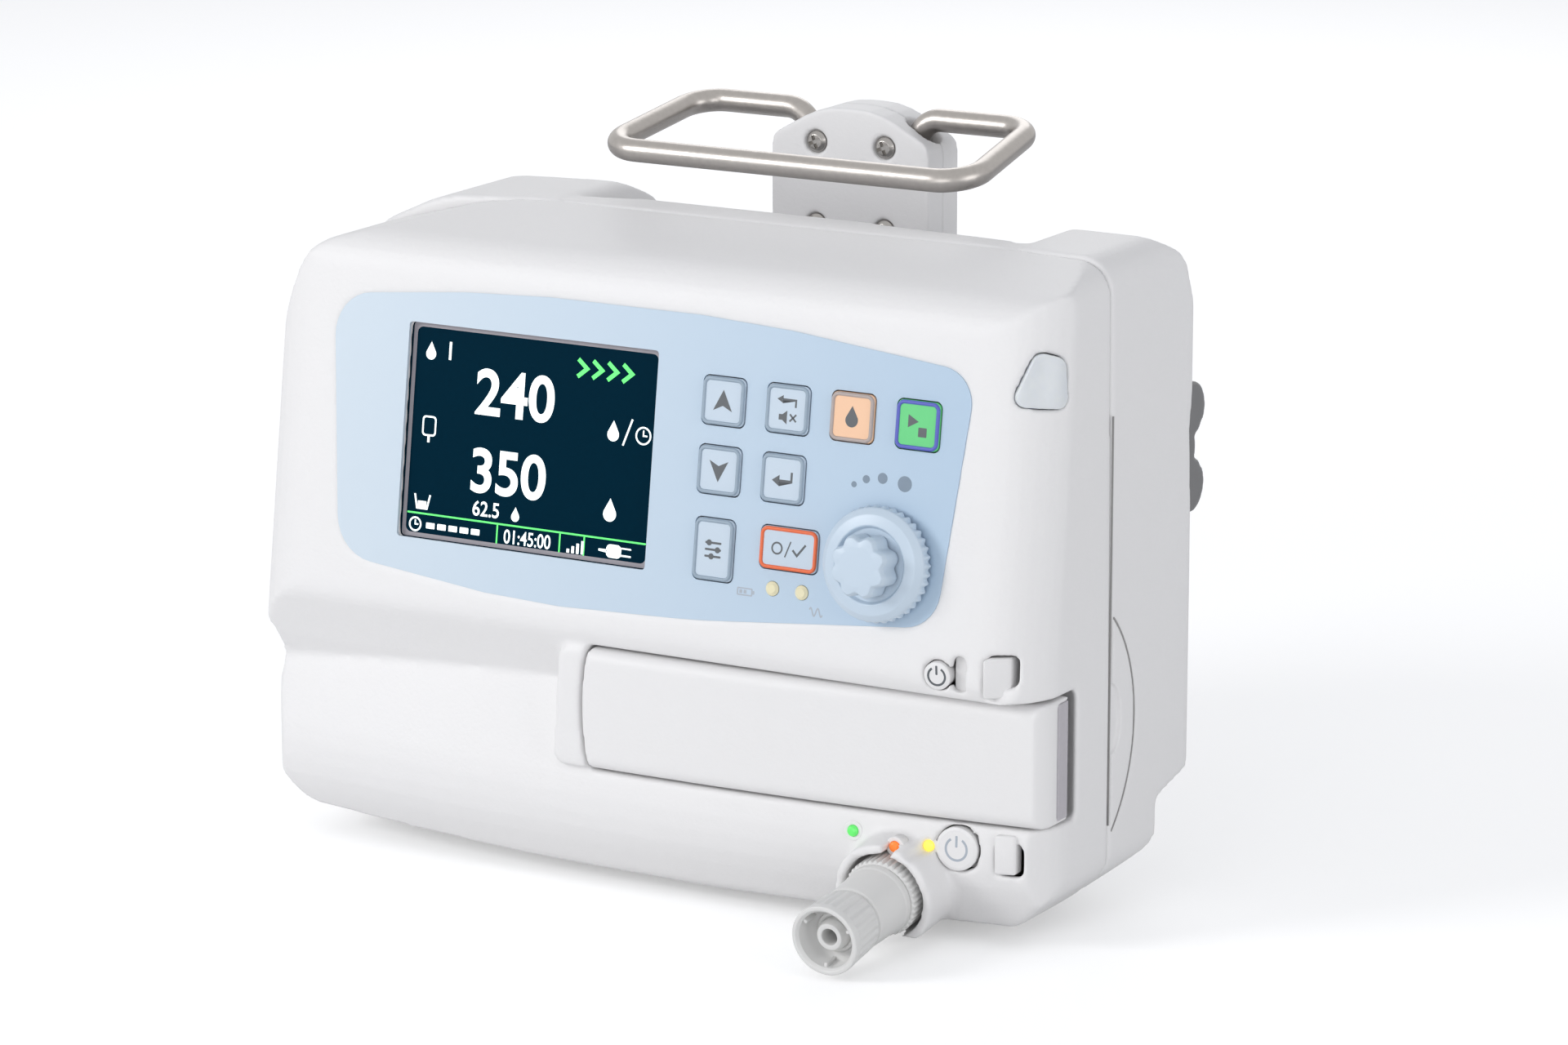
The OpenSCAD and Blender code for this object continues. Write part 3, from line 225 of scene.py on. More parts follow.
# %% World
world = bpy.data.worlds.new("studio")
world.use_nodes = True
scene.world = world
tree = world.node_tree
tree.nodes.clear()
out = tree.nodes.new("ShaderNodeOutputWorld")
soft = tree.nodes.new("ShaderNodeBackground")
soft.inputs["Color"].default_value = (0.93, 0.95, 1.0, 1)
soft.inputs["Strength"].default_value = 0.52
white = tree.nodes.new("ShaderNodeBackground")
white.inputs["Color"].default_value = (1, 1, 1, 1)
white.inputs["Strength"].default_value = 1.0
path = tree.nodes.new("ShaderNodeLightPath")
pick = tree.nodes.new("ShaderNodeMixShader")
seen = tree.nodes.new("ShaderNodeMath")
seen.operation = "MAXIMUM"
bright = tree.nodes.new("ShaderNodeMath")
bright.operation = "MAXIMUM"
tree.links.new(path.outputs["Is Camera Ray"], seen.inputs[0])
tree.links.new(path.outputs["Is Glossy Ray"], seen.inputs[1])
tree.links.new(seen.outputs[0], bright.inputs[0])
tree.links.new(path.outputs["Is Transmission Ray"], bright.inputs[1])
tree.links.new(bright.outputs[0], pick.inputs[0])
tree.links.new(soft.outputs[0], pick.inputs[1])
tree.links.new(white.outputs[0], pick.inputs[2])
tree.links.new(pick.outputs[0], out.inputs["Surface"])
print("world set")

# %% [markdown]
# ## Finishes
# Every moulded piece has the same faint spark-eroded grain. It is one node group: two sizes of noise
# make a height for the bump, and a slow noise makes a mask that varies gloss a little.


# %% Node group: moulded grain
def group_with(name, inputs, outputs):
    group = bpy.data.node_groups.new(name, "ShaderNodeTree")
    for label, kind, value in inputs:
        group.interface.new_socket(label, in_out="INPUT", socket_type=kind).default_value = value
    for label, kind in outputs:
        group.interface.new_socket(label, in_out="OUTPUT", socket_type=kind)
    return group, group.nodes.new("NodeGroupInput"), group.nodes.new("NodeGroupOutput")


def wire(tree, *pairs):
    for a, b in pairs:
        tree.links.new(a, b)


def math_node(tree, how, a, b):
    node = tree.nodes.new("ShaderNodeMath")
    node.operation = how
    for socket, value in zip(node.inputs, (a, b)):
        if hasattr(value, "is_output"):
            tree.links.new(value, socket)
        else:
            socket.default_value = value
    return node.outputs[0]


grain, g_in, g_out = group_with(
    "moulded_grain",
    [("Scale", "NodeSocketFloat", 900.0), ("Gloss Spread", "NodeSocketFloat", 0.06),
     ("Roughness", "NodeSocketFloat", 0.45)],
    [("Height", "NodeSocketFloat"), ("Roughness", "NodeSocketFloat")])
coords = grain.nodes.new("ShaderNodeTexCoord")
fine = grain.nodes.new("ShaderNodeTexNoise")
slow = grain.nodes.new("ShaderNodeTexNoise")
slow.inputs["Scale"].default_value = 18
fine.inputs["Detail"].default_value = 3
wire(grain, (coords.outputs["Object"], fine.inputs["Vector"]), (coords.outputs["Object"], slow.inputs["Vector"]),
     (g_in.outputs["Scale"], fine.inputs["Scale"]), (fine.outputs["Fac"], g_out.inputs["Height"]))
swing = math_node(grain, "SUBTRACT", slow.outputs["Fac"], 0.5)
swing = math_node(grain, "MULTIPLY", swing, g_in.outputs["Gloss Spread"])
wire(grain, (math_node(grain, "ADD", swing, g_in.outputs["Roughness"]), g_out.inputs["Roughness"]))
print("group", grain.name)


# %% Node group: soft tint
# Handling and mould flow leave a white part a little warmer in some places than in others.
tint, t_in, t_out = group_with(
    "soft_tint",
    [("Color A", "NodeSocketColor", (1, 1, 1, 1)), ("Color B", "NodeSocketColor", (1, 1, 1, 1)),
     ("Scale", "NodeSocketFloat", 9.0)],
    [("Color", "NodeSocketColor")])
coords = tint.nodes.new("ShaderNodeTexCoord")
cloud = tint.nodes.new("ShaderNodeTexNoise")
mix = tint.nodes.new("ShaderNodeMix")
mix.data_type = "RGBA"
wire(tint, (coords.outputs["Object"], cloud.inputs["Vector"]), (t_in.outputs["Scale"], cloud.inputs["Scale"]),
     (cloud.outputs["Fac"], mix.inputs[0]), (t_in.outputs["Color A"], mix.inputs[6]),
     (t_in.outputs["Color B"], mix.inputs[7]), (mix.outputs[2], t_out.inputs["Color"]))
print("group", tint.name)


# %% One recipe for plain moulded and painted pieces
def shade(color, factor):
    return tuple(min(1.0, c * f) for c, f in zip(color, factor)) + (1,)


def moulded(name, color, roughness, warm=(1.0, 0.992, 0.975), scale=900.0, bump=0.05, metallic=0.0, spread=0.06):
    material = bpy.data.materials.new(name)
    material.use_nodes = True
    tree = material.node_tree
    shader = tree.nodes["Principled BSDF"]
    grains = tree.nodes.new("ShaderNodeGroup")
    grains.node_tree = grain
    grains.inputs["Scale"].default_value = scale
    grains.inputs["Roughness"].default_value = roughness
    grains.inputs["Gloss Spread"].default_value = spread
    tints = tree.nodes.new("ShaderNodeGroup")
    tints.node_tree = tint
    tints.inputs["Color A"].default_value = tuple(color) + (1,)
    tints.inputs["Color B"].default_value = shade(color, warm)
    relief = tree.nodes.new("ShaderNodeBump")
    relief.inputs["Strength"].default_value = bump
    relief.inputs["Distance"].default_value = 0.0004
    shader.inputs["Metallic"].default_value = metallic
    wire(tree, (grains.outputs["Height"], relief.inputs["Height"]), (relief.outputs[0], shader.inputs["Normal"]),
         (grains.outputs["Roughness"], shader.inputs["Roughness"]),
         (tints.outputs["Color"], shader.inputs["Base Color"]))
    return material


FINISH = {
    "body": moulded("white_shell", (0.775, 0.77, 0.775), 0.5, warm=(1.0, 0.995, 0.985), bump=0.22),
    "board": moulded("circuit_board", (0.02, 0.13, 0.05), 0.4),
    "key_blue": moulded("pale_key", (0.54, 0.635, 0.735), 0.36),
    "key_orange": moulded("orange_key", (0.86, 0.55, 0.36), 0.42),
    "key_green": moulded("green_key", (0.13, 0.62, 0.22), 0.42),
    "dial": moulded("dial_blue", (0.53, 0.63, 0.735), 0.36),
    "domes": moulded("switch_domes", (0.6, 0.6, 0.57), 0.7),
    "grey_trim": moulded("blue_grey_trim", (0.36, 0.42, 0.47), 0.5),
    "dark_trim": moulded("black_inlet", (0.02, 0.02, 0.022), 0.42),
    "ivory": moulded("natural_gear", (0.72, 0.66, 0.50), 0.5),
    "brass": moulded("turned_brass", (0.55, 0.36, 0.10), 0.3, metallic=1.0, bump=0.02),
    "motor": moulded("grey_can", (0.18, 0.18, 0.19), 0.42, metallic=0.6),
    "nozzle": moulded("light_grey_nozzle", (0.69, 0.69, 0.685), 0.4),
    "clamp": moulded("blasted_cast_alloy", (0.55, 0.55, 0.56), 0.5, metallic=0.85, scale=1400, bump=0.25),
    "rubber": moulded("dark_rubber", (0.03, 0.03, 0.032), 0.8),
    "battery": moulded("cell_sleeve", (0.06, 0.16, 0.36), 0.45),
    "knob": moulded("grey_knob", (0.16, 0.16, 0.163), 0.26, bump=0.03),
}
print("finishes", sorted(FINISH))

# %% [markdown]
# Screws, pins and the handle are steel. A fine noise marks the drawn rod with small scratches and
# varies its shade, and the plated screws are only slightly uneven.


# %% Steel
def steel(name, color, roughness, stretch, bump):
    material = bpy.data.materials.new(name)
    material.use_nodes = True
    tree = material.node_tree
    shader = tree.nodes["Principled BSDF"]
    shader.inputs["Metallic"].default_value = 1.0
    coords = tree.nodes.new("ShaderNodeTexCoord")
    mapping = tree.nodes.new("ShaderNodeMapping")
    mapping.inputs["Scale"].default_value = stretch
    scratch = tree.nodes.new("ShaderNodeTexNoise")
    scratch.inputs["Scale"].default_value = 60
    scratch.inputs["Detail"].default_value = 6
    relief = tree.nodes.new("ShaderNodeBump")
    relief.inputs["Strength"].default_value = bump
    relief.inputs["Distance"].default_value = 0.0002
    ramp = tree.nodes.new("ShaderNodeMix")
    ramp.data_type = "RGBA"
    ramp.inputs[6].default_value = tuple(c * 0.82 for c in color) + (1,)
    ramp.inputs[7].default_value = tuple(color) + (1,)
    rough = math_node(tree, "ADD", math_node(tree, "MULTIPLY", scratch.outputs["Fac"], 0.16), roughness - 0.08)
    wire(tree, (coords.outputs["Object"], mapping.inputs["Vector"]), (mapping.outputs[0], scratch.inputs["Vector"]),
         (scratch.outputs["Fac"], relief.inputs["Height"]), (relief.outputs[0], shader.inputs["Normal"]),
         (scratch.outputs["Fac"], ramp.inputs[0]), (ramp.outputs[2], shader.inputs["Base Color"]),
         (rough, shader.inputs["Roughness"]))
    return material


FINISH["steel"] = steel("satin_drawn_steel", (0.43, 0.405, 0.385), 0.34, (12, 12, 12), 0.2)
FINISH["zinc"] = steel("bright_plated_steel", (0.40, 0.385, 0.37), 0.26, (4, 4, 4), 0.05)
print("steel done")

# %% [markdown]
# The panel is a printed film. Its blue carries a painted reflection of the light from the left: lighter at
# the left and deeper at the right, so the colour is mixed along the piece's own X with a gradient.


# %% Panel film
def film(name, left, right, roughness):
    material = bpy.data.materials.new(name)
    material.use_nodes = True
    tree = material.node_tree
    shader = tree.nodes["Principled BSDF"]
    coords = tree.nodes.new("ShaderNodeTexCoord")
    split = tree.nodes.new("ShaderNodeSeparateXYZ")
    # Painted reflection: the blue runs from lighter at the left to deeper at the right along the piece's X.
    reach = tree.nodes.new("ShaderNodeMapRange")
    reach.inputs["From Min"].default_value = -0.10
    reach.inputs["From Max"].default_value = 0.11
    mix = tree.nodes.new("ShaderNodeMix")
    mix.data_type = "RGBA"
    mix.inputs[6].default_value = tuple(left) + (1,)
    mix.inputs[7].default_value = tuple(right) + (1,)
    fine = tree.nodes.new("ShaderNodeTexNoise")
    fine.inputs["Scale"].default_value = 2600
    relief = tree.nodes.new("ShaderNodeBump")
    relief.inputs["Strength"].default_value = 0.06
    relief.inputs["Distance"].default_value = 0.0002
    shader.inputs["Roughness"].default_value = roughness
    wire(tree, (coords.outputs["Object"], split.inputs[0]), (coords.outputs["Object"], fine.inputs["Vector"]),
         (split.outputs["X"], reach.inputs["Value"]), (reach.outputs["Result"], mix.inputs[0]),
         (mix.outputs[2], shader.inputs["Base Color"]), (fine.outputs["Fac"], relief.inputs["Height"]),
         (relief.outputs[0], shader.inputs["Normal"]))
    return material


# The lighter left and deeper right of this blue are a painted reflection of the light from the left.
FINISH["panel"] = film("panel_film_painted_reflection", (0.595, 0.68, 0.755), (0.42, 0.55, 0.69), 0.38)
print("film done")


# %% Inks, lenses and the lit display
def plain(name, color, roughness=0.45, glow=0.0):
    material = bpy.data.materials.new(name)
    material.use_nodes = True
    shader = material.node_tree.nodes["Principled BSDF"]
    noise = material.node_tree.nodes.new("ShaderNodeTexNoise")
    coords = material.node_tree.nodes.new("ShaderNodeTexCoord")
    noise.inputs["Scale"].default_value = 700
    mix = material.node_tree.nodes.new("ShaderNodeMix")
    mix.data_type = "RGBA"
    mix.inputs[6].default_value = tuple(c * 0.93 for c in color) + (1,)
    mix.inputs[7].default_value = tuple(min(1, c * 1.05) for c in color) + (1,)
    shader.inputs["Roughness"].default_value = roughness
    wire(material.node_tree,
         (coords.outputs["Object"], noise.inputs["Vector"]), (noise.outputs["Fac"], mix.inputs[0]),
         (mix.outputs[2], shader.inputs["Base Color"]))
    if glow:
        shader.inputs["Emission Color"].default_value = tuple(color) + (1,)
        shader.inputs["Emission Strength"].default_value = glow
    return material


INK = {
    "grey": plain("grey_ink", (0.10, 0.11, 0.12)),
    "pale_grey": plain("pale_grey_ink", (0.40, 0.44, 0.50)),
    "outline": plain("key_outline_ink", (0.30, 0.38, 0.46)),
    "bezel": plain("bezel_grey", (0.33, 0.31, 0.34)),
    "seam": plain("seam_shadow", (0.30, 0.295, 0.29), 0.7),
    "dot": plain("dot_ink", (0.20, 0.26, 0.33)),
    "purge_rim": plain("purge_rim", (0.42, 0.36, 0.34)),
    "violet": plain("violet_ink", (0.10, 0.12, 0.50)),
    "red": plain("orange_red_ink", (0.80, 0.15, 0.05)),
    "screen_white": plain("lit_white", (0.85, 0.92, 0.92), 0.3, 0.75),
    "screen_green": plain("lit_green", (0.10, 0.75, 0.15), 0.3, 0.75),
}
FINISH["window"] = plain("navy_display", (0.0, 0.017, 0.034), 0.3)
FINISH["window"].node_tree.nodes["Principled BSDF"].inputs["Specular IOR Level"].default_value = 0.02
FINISH["lamp_clear"] = plain("lamp_cream", (0.80, 0.74, 0.50), 0.25)
FINISH["lamp_green"] = plain("lamp_green", (0.10, 0.62, 0.12), 0.2, 0.5)
FINISH["lamp_orange"] = plain("lamp_orange", (0.85, 0.20, 0.03), 0.2, 0.4)
FINISH["lamp_yellow"] = plain("lamp_yellow", (0.95, 0.75, 0.10), 0.2, 0.6)
print("inks", sorted(INK))

# %% [markdown]
# The alarm lens is a milky light guide. A little transmission and subsurface scatter let the corner
# behind it shine through, as a frosted clear moulding does.

# %% Alarm lens
lens = bpy.data.materials.new("milky_lens")
lens.use_nodes = True
shader = lens.node_tree.nodes["Principled BSDF"]
shader.inputs["Transmission Weight"].default_value = 0.25
shader.inputs["Subsurface Weight"].default_value = 0.3
shader.inputs["Subsurface Radius"].default_value = (0.004, 0.004, 0.005)
frost = lens.node_tree.nodes.new("ShaderNodeTexNoise")
frost_at = lens.node_tree.nodes.new("ShaderNodeTexCoord")
frost.inputs["Scale"].default_value = 350
frosted = lens.node_tree.nodes.new("ShaderNodeMix")
frosted.data_type = "RGBA"
frosted.inputs[6].default_value = (0.80, 0.84, 0.88, 1)
frosted.inputs[7].default_value = (0.90, 0.93, 0.95, 1)
haze = math_node(lens.node_tree, "ADD", math_node(lens.node_tree, "MULTIPLY", frost.outputs["Fac"], 0.15), 0.14)
wire(lens.node_tree,
     (frost_at.outputs["Object"], frost.inputs["Vector"]), (frost.outputs["Fac"], frosted.inputs[0]),
     (frosted.outputs[2], shader.inputs["Base Color"]), (haze, shader.inputs["Roughness"]))
FINISH["alarm"] = lens
print("lens done")

# %% Give every node its slot's finish
slot_of = {s["node"]: s["material_slot"] for s in frame["record"]["subparts"]}
body_of = {n: b for b, members in frame["record"]["behaviour"]["bodies"].items() for n in members}
for name, node in nodes.items():
    node.data.materials.clear()
    node.data.materials.append(FINISH[slot_of[name]])
nodes["door_end_strip"].data.materials[0] = plain("strip_lilac", (0.46, 0.44, 0.47), 0.5)
print("slots in use", len(set(slot_of.values())))

# %% [markdown]
# ## Soft edges
# A moulding has no sharp edge. A copy of each exact solid is remeshed in small cells and relaxed a
# few times, which rounds every corner alike, as polishing a mould does. The copy then stands for it.


# %% Helper: a softened copy of a node
def keep(obj, body, slot=None):
    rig.ride(obj, body)
    if slot:
        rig.slot(obj, slot)
    return obj


def baked(maker, name):
    """The evaluated mesh of maker as a plain object at the origin."""
    bpy.context.view_layer.update()
    mesh = bpy.data.meshes.new_from_object(maker.evaluated_get(bpy.context.evaluated_depsgraph_get()))
    obj = bpy.data.objects.new(name, mesh)
    bpy.context.collection.objects.link(obj)
    bpy.data.objects.remove(maker)
    return obj


def softened(node_name, cell, rounds, limit, factor=0.5):
    mesh = nodes[node_name].data.copy()
    build = bmesh.new()
    build.from_mesh(mesh)
    bmesh.ops.remove_doubles(build, verts=build.verts, dist=1e-6)
    build.to_mesh(mesh)
    build.free()
    maker = bpy.data.objects.new(node_name + "_maker", mesh)
    bpy.context.collection.objects.link(maker)
    remesh = maker.modifiers.new("cells", "REMESH")
    remesh.mode = "VOXEL"
    remesh.voxel_size = cell * MM
    relax = maker.modifiers.new("relax", "SMOOTH")
    relax.factor = factor
    relax.iterations = rounds
    bpy.context.view_layer.update()
    faces = len(maker.evaluated_get(bpy.context.evaluated_depsgraph_get()).data.polygons) * 2
    if faces > limit:
        thin = maker.modifiers.new("thin", "DECIMATE")
        thin.ratio = limit / faces
    obj = baked(maker, node_name + "_soft")
    obj.data.shade_smooth()
    obj.data.materials.clear()
    obj.data.materials.append(FINISH[slot_of[node_name]])
    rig.replaces(obj, node_name)
    print(obj.name, len(obj.data.polygons), "faces")
    return keep(obj, body_of[node_name], slot_of[node_name])


# %% Shells, door and brackets
softened("front_housing", 0.8, 6, 190000)
softened("rear_housing", 0.85, 5, 180000)
softened("door", 0.6, 6, 60000)
softened("handle_bracket_front", 0.5, 6, 30000)
softened("handle_bracket_rear", 0.5, 6, 30000)
softened("battery_cover", 0.45, 2, 30000)
softened("clamp_frame", 0.6, 6, 50000)
softened("clamp_knob", 0.5, 9, 40000)
softened("clamp_pad", 0.5, 4, 20000)

# %% Small moulded pieces
for name in ["key_up", "key_down", "key_back", "key_enter", "key_mode", "key_ok", "key_purge", "key_start"]:
    softened(name, 0.25, 3, 8000)
softened("alarm_lens", 0.25, 3, 12000)

# %% [markdown]
# ## Printed symbols
# Symbols are thin flat pieces. A filled 2D curve makes any outline with holes; it becomes a mesh and
# only then is put on its place, a few hundredths of a millimetre proud of the surface.


# %% Helpers for printed shapes
def linked(obj):
    bpy.context.collection.objects.link(obj)
    return obj


def put(mesh, place):
    mesh.transform(to_frame @ place)
    mesh.update()


def printed(name, outlines, place, ink, body, thick=0.05):
    curve = bpy.data.curves.new(name, "CURVE")
    curve.dimensions = "2D"
    curve.fill_mode = "BOTH"
    curve.extrude = thick / 2
    for points in outlines:
        spline = curve.splines.new("POLY")
        spline.points.add(len(points) - 1)
        for point, (x, y) in zip(spline.points, points):
            point.co = (x, y, 0, 1)
        spline.use_cyclic_u = True
    obj = baked(linked(bpy.data.objects.new(name + "_maker", curve)), name)
    put(obj.data, place)
    obj.data.materials.clear()
    obj.data.materials.append(INK[ink])
    return keep(obj, body)


def bead(name, outline, place, ink, body, r=0.4):
    """A round bead along a closed outline, half of it sunk in the surface."""
    curve = bpy.data.curves.new(name, "CURVE")
    curve.dimensions = "3D"
    curve.bevel_depth = r
    curve.bevel_resolution = 3
    spline = curve.splines.new("POLY")
    spline.points.add(len(outline) - 1)
    for point, (x, y) in zip(spline.points, outline):
        point.co = (x, y, 0, 1)
    spline.use_cyclic_u = True
    obj = baked(linked(bpy.data.objects.new(name + "_maker", curve)), name)
    put(obj.data, place)
    obj.data.shade_smooth()
    obj.data.materials.clear()
    obj.data.materials.append(INK[ink])
    return keep(obj, body)


def arc(cx, cy, r, start=0.0, stop=360.0, steps=32):
    turns = [math.radians(start + (stop - start) * i / steps) for i in range(steps + (stop - start < 360))]
    return [(cx + r * math.cos(t), cy + r * math.sin(t)) for t in turns]


def rounded_box(w, h, r, cx=0.0, cy=0.0):
    points = []
    for sx, sy, start in [(1, -1, -90), (1, 1, 0), (-1, 1, 90), (-1, -1, 180)]:
        points += arc(cx + sx * (w / 2 - r), cy + sy * (h / 2 - r), r, start, start + 90, 6)
    return points


def stroke(points, width):
    """The outline of a line of that width through points, mitred at its bends."""
    left, right = [], []
    for i, p in enumerate(points):
        a = Vector(points[max(i - 1, 0)])
        b = Vector(points[min(i + 1, len(points) - 1)])
        here = Vector(p)
        d0 = (here - a).normalized() if i else (b - here).normalized()
        d1 = (b - here).normalized() if i < len(points) - 1 else d0
        n = Vector((-(d0 + d1).y, (d0 + d1).x)).normalized()
        reach = width / 2 / max(0.35, n.dot(Vector((-d0.y, d0.x))))
        left.append(tuple(here + n * reach))
        right.append(tuple(here - n * reach))
    return left + right[::-1]


print("helpers ready")

# %% [markdown]
# ## The control panel
# Each key has a raised bead that follows its rounded square, and a pictogram in dark grey. The
# beads of the two keys that start and stop the pump stand out in violet and orange red.

# %% Key places and borders
KEY, COLUMN, ROW = 12, (25.1, 18.2), (130.6, 17)
KEYS = {
    "up": (0, 0, KEY, KEY, "outline"), "back": (1, 0, KEY, KEY, "outline"),
    "purge": (2, 0, KEY, KEY, "purge_rim"), "start": (3, 0, KEY, KEY, "violet"),
    "down": (0, 1, KEY, KEY, "outline"), "enter": (1, 1, KEY, KEY, "outline"),
    "mode": (0, 2.15, KEY - 0.8, KEY + 3.4, "outline"), "ok": (1.17, 2, KEY + 4.2, KEY - 1.4, "red"),
}


def key_face(key):
    column, row = KEYS[key][:2]
    return on_panel(COLUMN[0] + column * COLUMN[1], ROW[0] - row * ROW[1], 0.6)


for key, (column, row, w, h, ink) in KEYS.items():
    rim = rounded_box(w - 1.1, h - 1.1, 1.5)
    bead(f"border_{key}", rim, lifted(key_face(key), -0.1), ink, body_of["key_" + key], 0.5)
print("borders", len(KEYS))

# %% Pictograms
ring = [arc(0, 0, 1.6), arc(0, 0, 1.15)]
SYMBOLS = {
    "up": [[(0, 2.9), (2.7, -2.4), (0, -1.1), (-2.7, -2.4)]],
    "down": [[(0, -2.9), (-2.7, 2.4), (0, 1.1), (2.7, 2.4)]],
    "back": [stroke([(2.4, 0.6), (2.4, 2.4), (-1.4, 2.4)], 0.5), [(-2.9, 2.4), (-1.2, 3.4), (-1.2, 1.4)],
             [(-2.2, -2.7), (-2.2, -1.3), (-1.2, -1.3), (0.1, -0.3), (0.1, -3.7), (-1.2, -2.7)],
             stroke([(0.9, -1.1), (2.7, -2.9)], 0.45), stroke([(0.9, -2.9), (2.7, -1.1)], 0.45)],
    "enter": [stroke([(2.6, 1.8), (2.6, -0.5), (-1.0, -0.5)], 0.6), [(-2.9, -0.5), (-0.8, 0.9), (-0.8, -1.9)]],
    "mode": [rounded_box(4.6, 0.55, 0.2, 0, y) for y in (1.7, 0, -1.7)]
            + [arc(x, y, 0.75) for x, y in ((-1.2, 1.7), (1.3, 0), (-0.4, -1.7))],
    "ok": [[(x - 3.2, y) for x, y in loop] for loop in ring]
          + [stroke([(-0.9, -2.0), (0.6, 2.0)], 0.35), stroke([(1.2, 0.0), (2.5, -1.3), (4.8, 1.6)], 0.55)],
    "purge": [[(0, 2.8)] + arc(0, -0.7, 1.75, 22, -202, 24)],
    "start": [[(-2.6, 2.5), (0.3, 0.9), (-2.6, -0.7)], rounded_box(2.3, 2.3, 0.2, 1.5, -1.6)],
}
for key, outlines in SYMBOLS.items():
    if key == "mode":
        printed("symbol_mode_bars", outlines[:3], key_face(key), "grey", body_of["key_mode"])
        printed("symbol_mode_dots", outlines[3:], lifted(key_face(key), 0.03), "grey", body_of["key_mode"])
    else:
        printed("symbol_" + key, outlines, key_face(key), "grey", body_of["key_" + key])
print("symbols", len(SYMBOLS))

# %% Marks on the film
ROOT = body_of["front_housing"]
for i, (x, z, d) in enumerate([(63.1, 114.5, 1.5), (66.4, 116.1, 2.0), (70.9, 116.8, 2.7), (77.1, 116.1, 3.9)]):
    printed(f"speed_dot_{i}", [arc(0, 0, d / 2)], on_panel(x, z), "dot", ROOT)
printed("battery_mark", [rounded_box(4.4, 2.0, 0.3), rounded_box(3.7, 1.35, 0.1), rounded_box(0.5, 0.9, 0.1, 2.5, 0),
                         rounded_box(0.8, 0.9, 0.1, -1.1, 0), rounded_box(0.8, 0.9, 0.1, 0.1, 0)],
        on_panel(34.6, 84.8), "pale_grey", ROOT)
wave = [(x / 6, 1.0 * math.sin(math.radians(x * 30))) for x in range(-11, 12)]
printed("mains_mark", [stroke(wave, 0.35)], on_panel(55.0, 82.2), "pale_grey", ROOT)
print("film marks done")


# %% The skin at a place
# Rays from the front find the housing's skin round a spot. A plane through the hits gives its slope;
# hits that went through an opening lie far behind and are left out.
front = nodes["front_housing"].data
shell = BVHTree.FromPolygons([v.co for v in front.vertices], [p.vertices for p in front.polygons])


def skin(x, z, r):
    spots = []
    for k in range(24):
        a = math.pi * k / 12
        start = to_frame @ Vector((x + r * math.cos(a), -60, z + r * math.sin(a)))
        hit = shell.ray_cast(start, Vector((0, 1, 0)))[0]
        if hit is not None:
            spots.append(to_frame.inverted() @ hit)
    middle = sorted(s.y for s in spots)[len(spots) // 3]
    spots = [s for s in spots if abs(s.y - middle) < 2.5]
    rows = np.array([(s.x - x, s.z - z, 1.0) for s in spots])
    slope_x, slope_z, y = np.linalg.lstsq(rows, np.array([s.y for s in spots]), rcond=None)[0]
    n = Vector((slope_x, -1, slope_z)).normalized()
    u = (Vector((1, 0, 0)) - n * n.x).normalized()
    return axes(Vector((x, y, z)), u, n.cross(u), n)


POWER = {"upper": skin(89.5, 71, 5.2), "lower": skin(92, 26, 7.2)}
print({k: [round(c, 2) for c in m.translation] for k, m in POWER.items()})


# %% Power symbols
def power_symbol(r, w):
    gap = 32
    outer, inner = arc(0, 0, r, 90 + gap, 450 - gap, 40), arc(0, 0, r - w, 90 + gap, 450 - gap, 40)
    return [outer + inner[::-1], rounded_box(w, r * 0.95, w / 3, 0, r * 0.62)]


BUTTON_TOP = 0.8
for side, r, w, ink in (("upper", 2.5, 0.55, "grey"), ("lower", 3.1, 0.6, "pale_grey")):
    printed("power_mark_" + side, power_symbol(r, w), lifted(POWER[side], BUTTON_TOP), ink,
            body_of["power_button_" + side])
print("power marks done")

# %% [markdown]
# ## The display
# The display shows plain numbers and pictograms. Numbers are set in Blender's own font, made a mesh,
# scaled to their height in millimetres and laid just in front of the dark window.

# %% Helpers for the display
SCREEN = on_panel(-31.5, 113.8, -2.2)


def digits(name, text, height, x, y, ink, align="LEFT", squeeze=1.0, weight=0.0):
    font = bpy.data.curves.new(name, "FONT")
    font.body = text
    font.size = 10
    font.offset = weight
    font.extrude = 0.02
    obj = baked(linked(bpy.data.objects.new(name + "_maker", font)), name)
    xs, ys = [v.co.x for v in obj.data.vertices], [v.co.y for v in obj.data.vertices]
    scale = height / (max(ys) - min(ys))
    start = {"LEFT": min(xs), "CENTER": (min(xs) + max(xs)) / 2, "RIGHT": max(xs)}[align]
    for v in obj.data.vertices:
        v.co = ((v.co.x - start) * scale * squeeze + x, (v.co.y - min(ys)) * scale + y, v.co.z)
    put(obj.data, SCREEN)
    obj.data.materials.clear()
    obj.data.materials.append(INK[ink])
    return keep(obj, ROOT)


def drop(cx, cy, r):
    return [(cx, cy + 2.1 * r)] + arc(cx, cy, r, 28, -208, 20)


def clock(cx, cy, r):
    return [arc(cx, cy, r), arc(cx, cy, r - 0.45), stroke([(cx, cy + r * 0.6), (cx, cy), (cx + r * 0.5, cy)], 0.4)]


print("display helpers ready")

